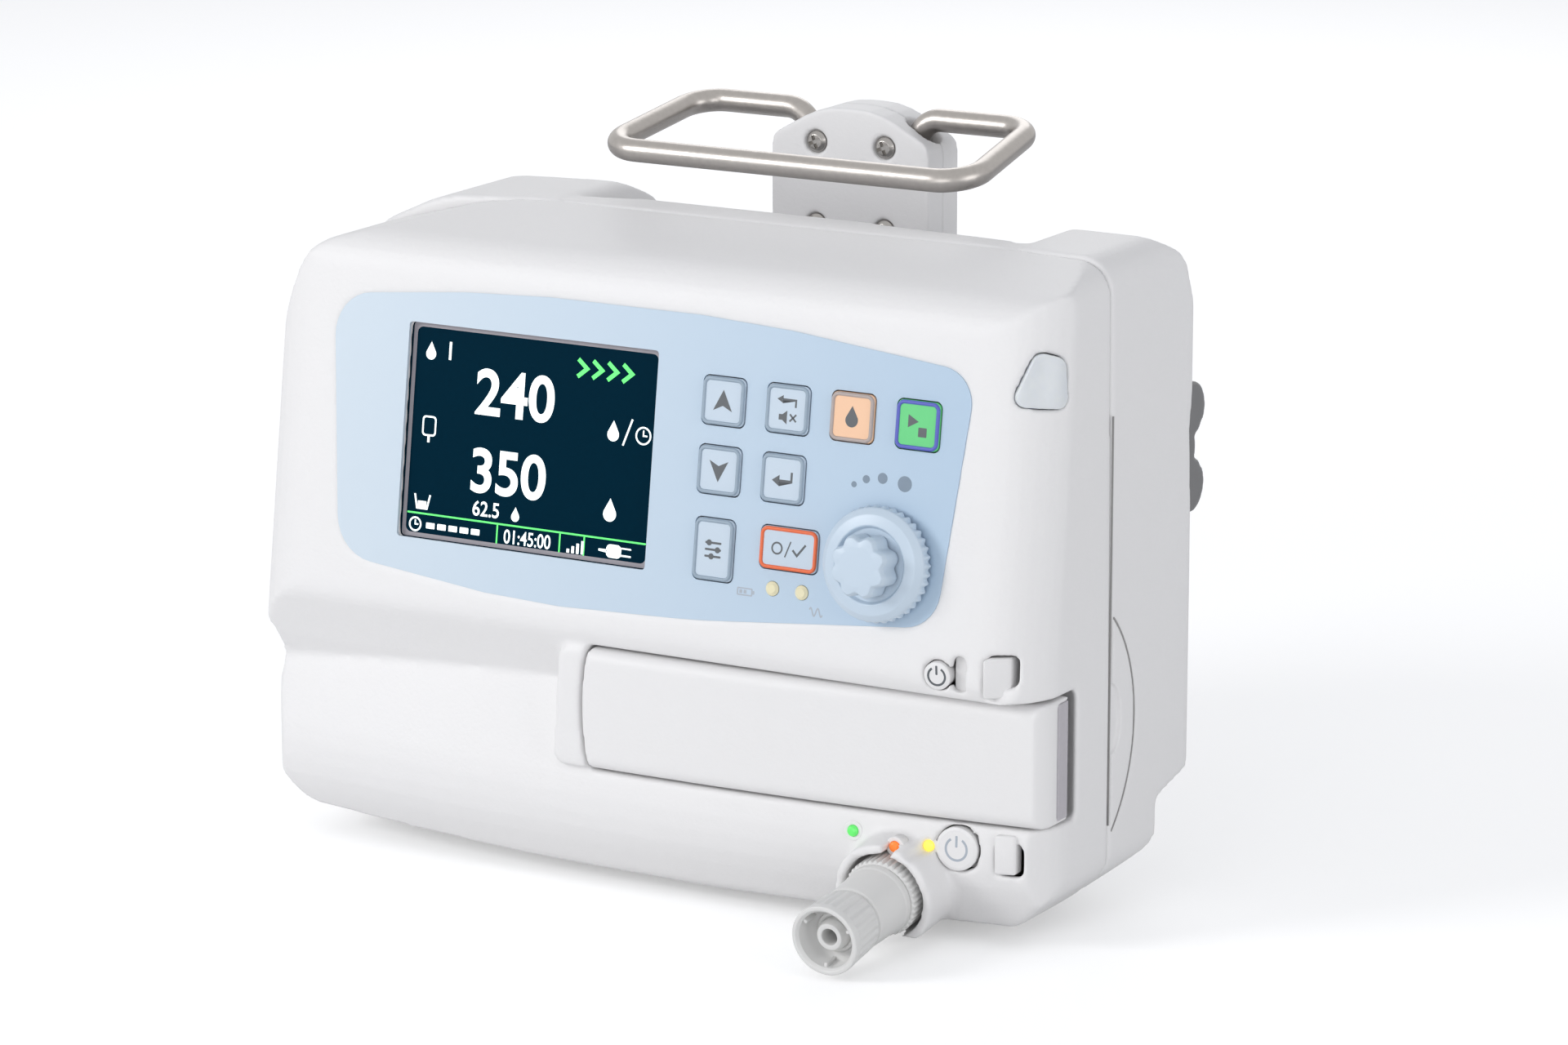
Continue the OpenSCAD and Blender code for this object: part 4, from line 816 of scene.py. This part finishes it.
# %% Numbers and signs on the display
printed("display_bezel", [rounded_box(73.8, 54.8, 1.0), rounded_box(71.6, 52.6, 1.6)], SCREEN, "bezel", ROOT)
digits("rate_number", "240", 12.0, -5.5, 5.6, "screen_white", "CENTER", 0.98, 0.2)
digits("total_number", "350", 11.6, -6.0, -14.2, "screen_white", "CENTER", 0.98, 0.2)
digits("given_number", "62.5", 3.9, -16.0, -20.0, "screen_white", "LEFT", 0.9, 0.12)
digits("clock_number", "01:45:00", 3.6, -6.2, -26.0, "screen_white", "LEFT", 0.82, 0.1)
digits("channel_number", "1", 4.6, -26.0, 18.6, "screen_white", "LEFT", 0.9, 0.12)
signs = {
    "rate_sign": ([drop(24.0, 5.0, 1.7), stroke([(27.0, 2.6), (29.4, 9.4)], 0.5)] + clock(32.8, 5.6, 2.3),
                  "screen_white"),
    "total_sign": ([drop(24.5, -15.0, 1.9)], "screen_white"),
    "given_sign": ([drop(-3.2, -19.0, 1.2)], "screen_white"),
    "bag_sign": ([rounded_box(4.2, 5.2, 1.0, -30.6, 1.2), rounded_box(3.3, 4.3, 0.7, -30.6, 1.2),
                  rounded_box(0.7, 1.6, 0.1, -30.6, -2.2)], "screen_white"),
    "cup_sign": ([stroke([(-33.6, -16.4), (-32.8, -20.0), (-29.8, -20.0), (-29.0, -16.4)], 0.5),
                  rounded_box(2.6, 1.6, 0.2, -31.3, -18.9)], "screen_white"),
    "head_sign": ([drop(-31.4, 19.6, 1.5)], "screen_white"),
    "plug_sign": ([rounded_box(4.4, 3.4, 1.2, 26.4, -24.2), rounded_box(3.0, 0.6, 0.2, 30.0, -23.3),
                   rounded_box(3.0, 0.6, 0.2, 30.0, -25.1), rounded_box(2.6, 0.6, 0.2, 23.2, -24.2)], "screen_white"),
    "left_sign": (clock(-33.0, -24.2, 1.9)
                  + [rounded_box(2.6, 1.5, 0.2, -28.4 + 3.4 * i, -24.2) for i in range(5)], "screen_white"),
    "level_sign": ([rounded_box(0.8, 1.0 + 0.8 * i, 0.1, 13.0 + 1.4 * i, -25.6 + 0.4 * i) for i in range(4)],
                   "screen_white"),
    "run_sign": ([stroke([(12.5 + 4.4 * i, 22.8), (15.2 + 4.4 * i, 20.6), (12.5 + 4.4 * i, 18.4)], 1.1)
                  for i in range(4)], "screen_green"),
    "bar_line": ([rounded_box(71.2, 0.45, 0.1, 0, -21.3)], "screen_green"),
    "bar_ends": ([rounded_box(0.45, 5.7, 0.1, x, -24.4) for x in (-8.3, 10.4, 17.6)], "screen_green"),
}
for name, (outlines, ink) in signs.items():
    printed(name, outlines, SCREEN, ink, ROOT, 0.04)
print("display signs", len(signs))

# %% [markdown]
# ## Turned and ribbed pieces
# The dial, its knob and the nozzle are round pieces with ribs at a steady pitch. A profile turned about
# an axis gives the body, and a Geometry Nodes tree presses the ribs in by one rule: a wave round the axis.


# %% Helper: round off a profile
def filleted(points, closed):
    """points are (r, z), (r, z, fillet) or (r, z, fillet, rib weight); a fillet is cut to what fits."""
    out, n = [], len(points)
    for i, point in enumerate(points):
        r, z, fillet, rib = point + (0,) * (4 - len(point))
        here = Vector((r, z))
        if fillet <= 0 or (not closed and i in (0, n - 1)):
            out.append((r, z, rib))
            continue
        before, after = Vector(points[i - 1][:2]), Vector(points[(i + 1) % n][:2])
        u, v = (before - here), (after - here)
        half = u.angle(v) / 2
        cut = min(fillet / math.tan(half), 0.49 * u.length, 0.49 * v.length)
        a, b = here + u.normalized() * cut, here + v.normalized() * cut
        for k in range(6):
            t = k / 5
            p = a.lerp(here, t).lerp(here.lerp(b, t), t)
            out.append((p.x, p.y, rib))
    return out


def turned(name, points, steps, closed=False):
    """A solid turned from a profile; its rib weight is stored on each vertex."""
    profile = filleted(points, closed)
    build = bmesh.new()
    weight = build.verts.layers.float.new("rib")
    rings = []
    for r, z, rib in profile:
        spots = [build.verts.new((r * math.cos(2 * math.pi * k / steps), r * math.sin(2 * math.pi * k / steps), z))
                 for k in range(steps)] if r > 1e-6 else [build.verts.new((0, 0, z))]
        for spot in spots:
            spot[weight] = rib
        rings.append(spots)
    pairs = list(zip(rings, rings[1:])) + ([(rings[-1], rings[0])] if closed else [])
    for a, b in pairs:
        for k in range(steps):
            loop = [a[k % len(a)], a[(k + 1) % steps % len(a)], b[(k + 1) % steps % len(b)], b[k % len(b)]]
            build.faces.new(list(dict.fromkeys(loop)))
    bmesh.ops.recalc_face_normals(build, faces=build.faces)
    mesh = bpy.data.meshes.new(name)
    build.to_mesh(mesh)
    build.free()
    return linked(bpy.data.objects.new(name + "_maker", mesh))


# %% Geometry Nodes: ribs pressed in round an axis
def tree_with(name, inputs):
    tree = bpy.data.node_groups.new(name, "GeometryNodeTree")
    tree.interface.new_socket("Geometry", in_out="INPUT", socket_type="NodeSocketGeometry")
    for label, kind, value in inputs:
        socket = tree.interface.new_socket(label, in_out="INPUT", socket_type=kind)
        if value is not None:
            socket.default_value = value
    tree.interface.new_socket("Geometry", in_out="OUTPUT", socket_type="NodeSocketGeometry")
    return tree, tree.nodes.new("NodeGroupInput"), tree.nodes.new("NodeGroupOutput")


ribs, r_in, r_out = tree_with("ribs_round_axis", [
    ("Count", "NodeSocketFloat", 24.0), ("Depth", "NodeSocketFloat", 0.5), ("Sharpness", "NodeSocketFloat", 1.0),
    ("Material", "NodeSocketMaterial", None)])
where = ribs.nodes.new("GeometryNodeInputPosition")
parts = ribs.nodes.new("ShaderNodeSeparateXYZ")
angle = ribs.nodes.new("ShaderNodeMath")
angle.operation = "ARCTAN2"
wire(ribs, (where.outputs[0], parts.inputs[0]),
     (parts.outputs["Y"], angle.inputs[0]), (parts.outputs["X"], angle.inputs[1]))
swell = math_node(ribs, "COSINE", math_node(ribs, "MULTIPLY", angle.outputs[0], r_in.outputs["Count"]), 0.0)
dip = math_node(ribs, "MULTIPLY", math_node(ribs, "ADD", swell, 1.0), 0.5)
dip = math_node(ribs, "POWER", dip, r_in.outputs["Sharpness"])
stored = ribs.nodes.new("GeometryNodeInputNamedAttribute")
stored.data_type = "FLOAT"
stored.inputs["Name"].default_value = "rib"
dip = math_node(ribs, "MULTIPLY", dip, stored.outputs["Attribute"])
amount = math_node(ribs, "MULTIPLY", dip, math_node(ribs, "MULTIPLY", r_in.outputs["Depth"], -1.0))
flat = ribs.nodes.new("ShaderNodeCombineXYZ")
unit = ribs.nodes.new("ShaderNodeVectorMath")
unit.operation = "NORMALIZE"
push = ribs.nodes.new("ShaderNodeVectorMath")
push.operation = "SCALE"
move = ribs.nodes.new("GeometryNodeSetPosition")
paint = ribs.nodes.new("GeometryNodeSetMaterial")
wire(ribs, (parts.outputs["X"], flat.inputs[0]), (parts.outputs["Y"], flat.inputs[1]),
     (flat.outputs[0], unit.inputs[0]),
     (unit.outputs[0], push.inputs[0]), (amount, push.inputs["Scale"]), (push.outputs[0], move.inputs["Offset"]),
     (r_in.outputs["Geometry"], move.inputs["Geometry"]), (move.outputs[0], paint.inputs["Geometry"]),
     (r_in.outputs["Material"], paint.inputs["Material"]), (paint.outputs[0], r_out.inputs["Geometry"]))
print("tree", ribs.name)


# %% Helpers: run a tree on a piece
def run_tree(obj, tree, name, **values):
    modifier = obj.modifiers.new(tree.name, "NODES")
    modifier.node_group = tree
    for item in tree.interface.items_tree:
        if item.in_out == "INPUT" and item.name in values:
            modifier[item.identifier] = values[item.name]
    return baked(obj, name)


def placed(obj, place, slot, body, smooth=True):
    put(obj.data, place)
    if smooth:
        obj.data.shade_smooth()
    obj.data.materials.append(FINISH[slot])
    return keep(obj, body, slot)


def ribbed(node, points, place, count=1.0, depth=0.0, sharp=1.0, steps=192, closed=False):
    maker = turned(node, points, steps, closed)
    obj = run_tree(maker, ribs, node + "_turned", Count=float(count), Depth=float(depth),
                   Sharpness=float(sharp), Material=FINISH[slot_of[node]])
    put(obj.data, place)
    obj.data.shade_smooth()
    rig.replaces(obj, node)
    print(obj.name, len(obj.data.polygons))
    return keep(obj, body_of[node], slot_of[node])


# %% Dial ring and knob
JOG = on_panel(72.4, 96.3)
ribbed("jog_ring", [(3.05, -11), (5, -11), (5, 0.8), (14.0, 0.8, 0.4, 1), (14.45, 1.8, 0.5, 1),
                    (14.45, 3.2, 0.6, 0.9), (13.9, 4.8, 1.2), (12.4, 6.1, 1.0), (9.6, 6.7, 0.5),
                    (9.0, 5.5, 0.3), (3.05, 5.5)],
       JOG, count=40, depth=0.75, sharp=0.8, steps=480, closed=True)
ribbed("jog_knob", [(0, -15), (3, -15), (3, 5.7), (7.9, 5.7, 0.3, 1), (7.9, 11.4, 0.9, 1), (7.3, 12.8, 0.6, 1),
                    (5.0, 13.0, 0.6, 0.2), (0, 13.1)],
       JOG, count=8, depth=1.2, sharp=1.5, steps=288)

# %% Power buttons
for side, d, stem in (("upper", 7, 9), ("lower", 11, 5)):
    ribbed("power_button_" + side, [(0, -stem), (d / 2, -stem), (d / 2, BUTTON_TOP - 0.25, 0.3),
                                    (d / 2 - 0.8, BUTTON_TOP, 0.3), (0, BUTTON_TOP)], POWER[side], steps=72)

# %% Lamps above the nozzle
LAMPS = {"green": skin(64.2, 27.2, 3.2), "orange": on_front(78.4, 0.2, 26.3),
         "yellow": POWER["lower"] @ Matrix.Translation((-7.6, -0.2, 0))}
DOME = [(0, -5), (1.4, -5), (1.4, 0.5, 0.3), (1.0, 1.0, 0.4), (0, 1.2)]
WASHER = [(1.5, -3.0), (2.5, -3.0), (2.5, 0.15, 0.2), (1.5, 0.15, 0.1)]
for hue, place in LAMPS.items():
    ribbed("status_lamp_" + hue, DOME, place, steps=48)
    washer = baked(turned("lamp_washer_" + hue, WASHER, 64, True), "lamp_washer_" + hue)
    placed(washer, place, "body", ROOT)

# %% Hooks in the hinge windows
# The real hinge hooks fill their windows almost to the skin. Each is a small rounded block, and a plate
# behind each line slot closes it.


def block(build, xs, zs, fronts, back):
    """A hexahedron between two x and two z whose front follows the skin's depth at each x."""
    outline = ((xs[0], fronts[0]), (xs[1], fronts[1]), (xs[1], back), (xs[0], back))
    corners = [build.verts.new((x, y, z)) for z in zs for x, y in outline]
    for loop in ((0, 1, 2, 3), (4, 7, 6, 5), (0, 4, 5, 1), (1, 5, 6, 2), (2, 6, 7, 3), (3, 7, 4, 0)):
        build.faces.new([corners[i] for i in loop])


WINDOW_HEIGHTS, WINDOW_SIDES = ((66.7, 76.7), (20.9, 30.9)), (100.2, 110.4)
HOOK_X, HOOK_BACK, SLOT_X, BETWEEN = (102.2, 107.2), 12.5, (93.0, 97.4), 99.4
hooks = bmesh.new()
for low, high in WINDOW_HEIGHTS:
    mid = (low + high) / 2
    left, right = (skin(x, mid, 1.2).translation.y for x in WINDOW_SIDES)
    block(hooks, HOOK_X, (low, high), (left - 0.6, right - 1.2), HOOK_BACK)
    near = skin(BETWEEN, mid, 1.0).translation.y
    block(hooks, SLOT_X, (low - 0.2, high + 0.2), (near + 2.6, near + 3.0), near + 4.4)
bmesh.ops.recalc_face_normals(hooks, faces=hooks.faces)
hook_mesh = bpy.data.meshes.new("hinge_hooks")
hooks.to_mesh(hook_mesh)
hooks.free()
hook_maker = linked(bpy.data.objects.new("hinge_hooks_maker", hook_mesh))
hook_edge = hook_maker.modifiers.new("edge", "BEVEL")
hook_edge.width, hook_edge.segments = 0.8, 4
hinge_hooks = placed(baked(hook_maker, "hinge_hooks"), Matrix.Identity(4), "body", ROOT)
print("hooks", len(hinge_hooks.data.polygons))

# %% Joint lines on the right side
# The seam of the two shells and the curved edge of the battery cover read as fine dark lines.
RIGHT_SIDE = axes(Vector((114.8, 0, 0)), Vector((0, 1, 0)), Vector((0, 0, 1)), Vector((1, 0, 0)))


def joint_line(name, points, width=0.42):
    printed(name, [stroke(points, width)], RIGHT_SIDE, "seam", ROOT, 0.38)


COVER_CENTRE, COVER_R, SEAM_Y = (19.5, 51.5), 37.5, 43.5
joint_line("cover_edge", arc(*COVER_CENTRE, COVER_R, -47, 47, 40))
joint_line("shell_seam", [(SEAM_Y, z) for z in range(26, 138, 8)])

# %% Nozzle
NOZZLE_TILT = math.radians(7)
n_axis = Vector((0, -math.cos(NOZZLE_TILT), -math.sin(NOZZLE_TILT)))
n_up = Vector((0, -math.sin(NOZZLE_TILT), math.cos(NOZZLE_TILT)))
NOZZLE = axes(Vector((76.5, 2, 14.6)), Vector((1, 0, 0)), n_up, n_axis)
ribbed("nozzle_socket", [(7.0, -2.5), (9.9, -2.5, 0.2, 1), (9.9, 5.9, 0.3, 1), (9.3, 6.5, 0.4, 0.3), (7.0, 6.5)],
       NOZZLE, count=40, depth=0.5, sharp=1.5, steps=320, closed=True)
ribbed("nozzle_body", [(4, -7.9), (7, -7.9), (7, 6.5), (9.1, 6.6, 0.3), (9.0, 8.2, 0.4), (8.8, 8.8, 0.5),
                       (8.3, 20.0, 0.7), (7.4, 20.8, 0.3), (5.2, 20.8), (5.2, 28), (4, 28)],
       NOZZLE, steps=96, closed=True)
ribbed("nozzle_collar", [(5.25, 21), (8.2, 21, 0.5), (8.55, 22.2, 0.4, 1), (8.95, 31.4, 0.3, 1), (9.0, 31.9, 0.2),
                         (9.0, 34, 0.5), (8.0, 34, 0.4), (7.3, 33.2, 0.4), (7.3, 28.4), (5.25, 28.4)],
       NOZZLE, count=24, depth=0.35, sharp=1.3, steps=288, closed=True)
ribbed("nozzle_tube", [(2.1, -6), (4.0, -6), (4.0, 29.4, 0.2), (3.4, 31.4, 0.4), (2.1, 31.4, 0.4)],
       NOZZLE, steps=72, closed=True)

# %% Ribs inside the collar
webs = bmesh.new()
for k in range(3):
    turn = Matrix.Rotation(math.radians(120 * k + 25), 4, "Z")
    one_rib = turn @ Matrix.Translation((6.9, 0, 30.6)) @ Matrix.Diagonal((1.3, 0.9, 4.6, 1))
    bmesh.ops.create_cube(webs, size=1.0, matrix=one_rib)
web_mesh = bpy.data.meshes.new("collar_webs")
webs.to_mesh(web_mesh)
webs.free()
web_maker = linked(bpy.data.objects.new("collar_webs_maker", web_mesh))
web_edge = web_maker.modifiers.new("edge", "BEVEL")
web_edge.width, web_edge.segments = 0.25, 3
placed(baked(web_maker, "collar_webs"), NOZZLE, "nozzle", body_of["nozzle_collar"], smooth=False)
print("collar ribs done")

# %% [markdown]
# ## The handle
# The handle is one steel rod, bent cold at six places. A tree sweeps a circle along its middle line,
# which is drawn from the same corners and bend radii as the real rod.

# %% Geometry Nodes: a rod along a line
rod_tree, h_in, h_out = tree_with("drawn_rod", [
    ("Radius", "NodeSocketFloat", 3.0), ("Sides", "NodeSocketInt", 40), ("Material", "NodeSocketMaterial", None)])
circle = rod_tree.nodes.new("GeometryNodeCurvePrimitiveCircle")
sweep = rod_tree.nodes.new("GeometryNodeCurveToMesh")
sweep.inputs["Fill Caps"].default_value = True
rod_paint = rod_tree.nodes.new("GeometryNodeSetMaterial")
wire(rod_tree,
     (h_in.outputs["Radius"], circle.inputs["Radius"]), (h_in.outputs["Sides"], circle.inputs["Resolution"]),
     (h_in.outputs["Geometry"], sweep.inputs["Curve"]), (circle.outputs[0], sweep.inputs["Profile Curve"]),
     (sweep.outputs[0], rod_paint.inputs["Geometry"]), (h_in.outputs["Material"], rod_paint.inputs["Material"]),
     (rod_paint.outputs[0], h_out.inputs["Geometry"]))
print("tree", rod_tree.name)

# %% The rod's middle line
half_back, half_front, reach, fall = 103.6 / 2 - 3, 111.5 / 2 - 3, math.sqrt(43 ** 2 - 7 ** 2), 7
right = [(15.5, 0, -24), (15.5, 0, 0), (half_back, 0, 0), (half_front, -reach, -fall)]
line = right + [(-x, y, z) for x, y, z in right[::-1]]
bends = [0, 7, 9, 9, 9, 9, 7, 0]
points = []
for i, (corner, r) in enumerate(zip(line, bends)):
    here = Vector(corner)
    if not r:
        points.append(here)
        continue
    u, v = (Vector(line[i - 1]) - here).normalized(), (Vector(line[i + 1]) - here).normalized()
    half = u.angle(v) / 2
    centre = here + (u + v).normalized() * (r / math.sin(half))
    start, stop = here + u * (r / math.tan(half)) - centre, here + v * (r / math.tan(half)) - centre
    span = start.angle(stop)
    for k in range(17):
        t = k / 16
        points.append(centre + (start * math.sin((1 - t) * span) + stop * math.sin(t * span)) / math.sin(span))
curve = bpy.data.curves.new("handle_line", "CURVE")
curve.dimensions = "3D"
spline = curve.splines.new("POLY")
spline.points.add(len(points) - 1)
for spot, p in zip(spline.points, points):
    spot.co = (p.x, p.y, p.z, 1)
ROD_R, HANDLE_AT = 2.99, (18.5, 91, 190)
handle = run_tree(linked(bpy.data.objects.new("handle_maker", curve)), rod_tree, "handle_rod",
                  Radius=ROD_R, Sides=40, Material=FINISH["steel"])
put(handle.data, Matrix.Translation(HANDLE_AT))
handle.data.shade_smooth()
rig.replaces(handle, "handle_bar")
keep(handle, body_of["handle_bar"], "steel")
print("handle", len(handle.data.polygons))

# %% [markdown]
# ## Screws
# One screw is turned and its cross recess is cut once. A tree then sets a copy on each hole.

# %% Geometry Nodes: a copy on each point
set_tree, s_in, s_out = tree_with("screw_on_each_point", [
    ("Screw", "NodeSocketObject", None), ("Turn", "NodeSocketRotation", None),
    ("Material", "NodeSocketMaterial", None)])
source = set_tree.nodes.new("GeometryNodeObjectInfo")
copies = set_tree.nodes.new("GeometryNodeInstanceOnPoints")
real = set_tree.nodes.new("GeometryNodeRealizeInstances")
set_paint = set_tree.nodes.new("GeometryNodeSetMaterial")
wire(set_tree,
     (s_in.outputs["Screw"], source.inputs["Object"]), (s_in.outputs["Geometry"], copies.inputs["Points"]),
     (source.outputs["Geometry"], copies.inputs["Instance"]), (s_in.outputs["Turn"], copies.inputs["Rotation"]),
     (copies.outputs[0], real.inputs[0]), (real.outputs[0], set_paint.inputs["Geometry"]),
     (s_in.outputs["Material"], set_paint.inputs["Material"]), (set_paint.outputs[0], s_out.inputs["Geometry"]))
print("tree", set_tree.name)


# %% One pan-head screw
def pan_screw(name, d, head_d, head_h, length):
    maker = turned(name, [(0, -length), (d / 2, -length, 0.2), (d / 2, 0), (head_d / 2 - 0.1, 0, 0.1),
                          (head_d / 2, head_h * 0.45, 0.5), (head_d * 0.33, head_h * 0.93, 0.6), (0, head_h)], 48)
    cross = bmesh.new()
    for turn in (0, 90):
        arm = Matrix.Rotation(math.radians(turn + 20), 4, "Z") @ Matrix.Translation((0, 0, head_h))
        arm = arm @ Matrix.Diagonal((head_d * 0.62, 0.95, head_h * 1.2, 1))
        bmesh.ops.create_cube(cross, size=1.0, matrix=arm)
    cross_mesh = bpy.data.meshes.new("cross")
    cross.to_mesh(cross_mesh)
    cross.free()
    cutter = linked(bpy.data.objects.new("cross", cross_mesh))
    cut = maker.modifiers.new("recess", "BOOLEAN")
    cut.object = cutter
    cut.use_self = True
    screw = baked(maker, name)
    bpy.data.objects.remove(cutter)
    return screw


def screws(node, spots, turn, size):
    screw = pan_screw(node + "_one", *size)
    cloud = bpy.data.meshes.new(node + "_spots")
    cloud.from_pydata(spots, [], [])
    maker = linked(bpy.data.objects.new(node + "_maker", cloud))
    modifier_values = {"Screw": screw, "Turn": turn, "Material": FINISH[slot_of[node]]}
    obj = run_tree(maker, set_tree, node + "_set", **modifier_values)
    bpy.data.objects.remove(screw)
    put(obj.data, Matrix.Identity(4))
    smooth_by_angle(obj, 35)
    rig.replaces(obj, node)
    print(obj.name, len(obj.data.polygons))
    return keep(obj, body_of[node], slot_of[node])


def smooth_by_angle(obj, degrees):
    obj.data.shade_smooth()
    build = bmesh.new()
    build.from_mesh(obj.data)
    for edge in build.edges:
        if len(edge.link_faces) == 2 and edge.calc_face_angle(0.0) > math.radians(degrees):
            edge.smooth = False
    build.to_mesh(obj.data)
    build.free()


FRONTWARD, BACKWARD = (math.radians(90), 0, 0), (math.radians(-90), 0, 0)
# Each size is thread, head, head height and length.
screws("bracket_screws", [(18.5 + x, 84.4, 172.2 + z) for x in (-10, 10) for z in (-10.75, 10.75)],
       FRONTWARD, (2.9, 5.8, 2.0, 12))
screws("clamp_screws", [(29.55 + x, 101, 104 + z) for x in (-8, 8) for z in (-11, 11)],
       BACKWARD, (3.1, 6.0, 2.0, 12))
screws("housing_screws", [(x, 55.5, z) for x, z in ((-96, 150), (96, 150), (-57, 21), (57, 21))],
       BACKWARD, (2.4, 5.6, 2.0, 26))

# %% [markdown]
# ## The floor
# A wide pale floor carries the shadow. It isn't part of the pump, so it is only staged.

# %% Floor
floor_mesh = bpy.data.meshes.new("floor")
floor_mesh.from_pydata([(-6, -6, 0), (6, -6, 0), (6, 8, 0), (-6, 8, 0)], [], [(0, 1, 2, 3)])
floor = linked(bpy.data.objects.new("floor", floor_mesh))
paper = bpy.data.materials.new("paper_white")
paper.use_nodes = True
tree = paper.node_tree
paper_shader = tree.nodes["Principled BSDF"]
paper_shader.inputs["Base Color"].default_value = (0.88, 0.88, 0.88, 1)
paper_shader.inputs["Roughness"].default_value = 0.9
rays = tree.nodes.new("ShaderNodeLightPath")
lift = tree.nodes.new("ShaderNodeEmission")
both = tree.nodes.new("ShaderNodeAddShader")
seen = math_node(tree, "MULTIPLY", rays.outputs["Is Camera Ray"], 0.33)
wire(tree, (seen, lift.inputs["Strength"]),
     (paper_shader.outputs[0], both.inputs[0]), (lift.outputs[0], both.inputs[1]),
     (both.outputs[0], tree.nodes["Material Output"].inputs["Surface"]))
floor.data.materials.append(paper)
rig.stage(floor)
print("floor staged")

# %% Sizes, then finish
json.dump({"cad": cad_box, "visual": [list(corner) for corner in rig.bounds()]}, open("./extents.json", "w"))
print(json.load(open("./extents.json")))
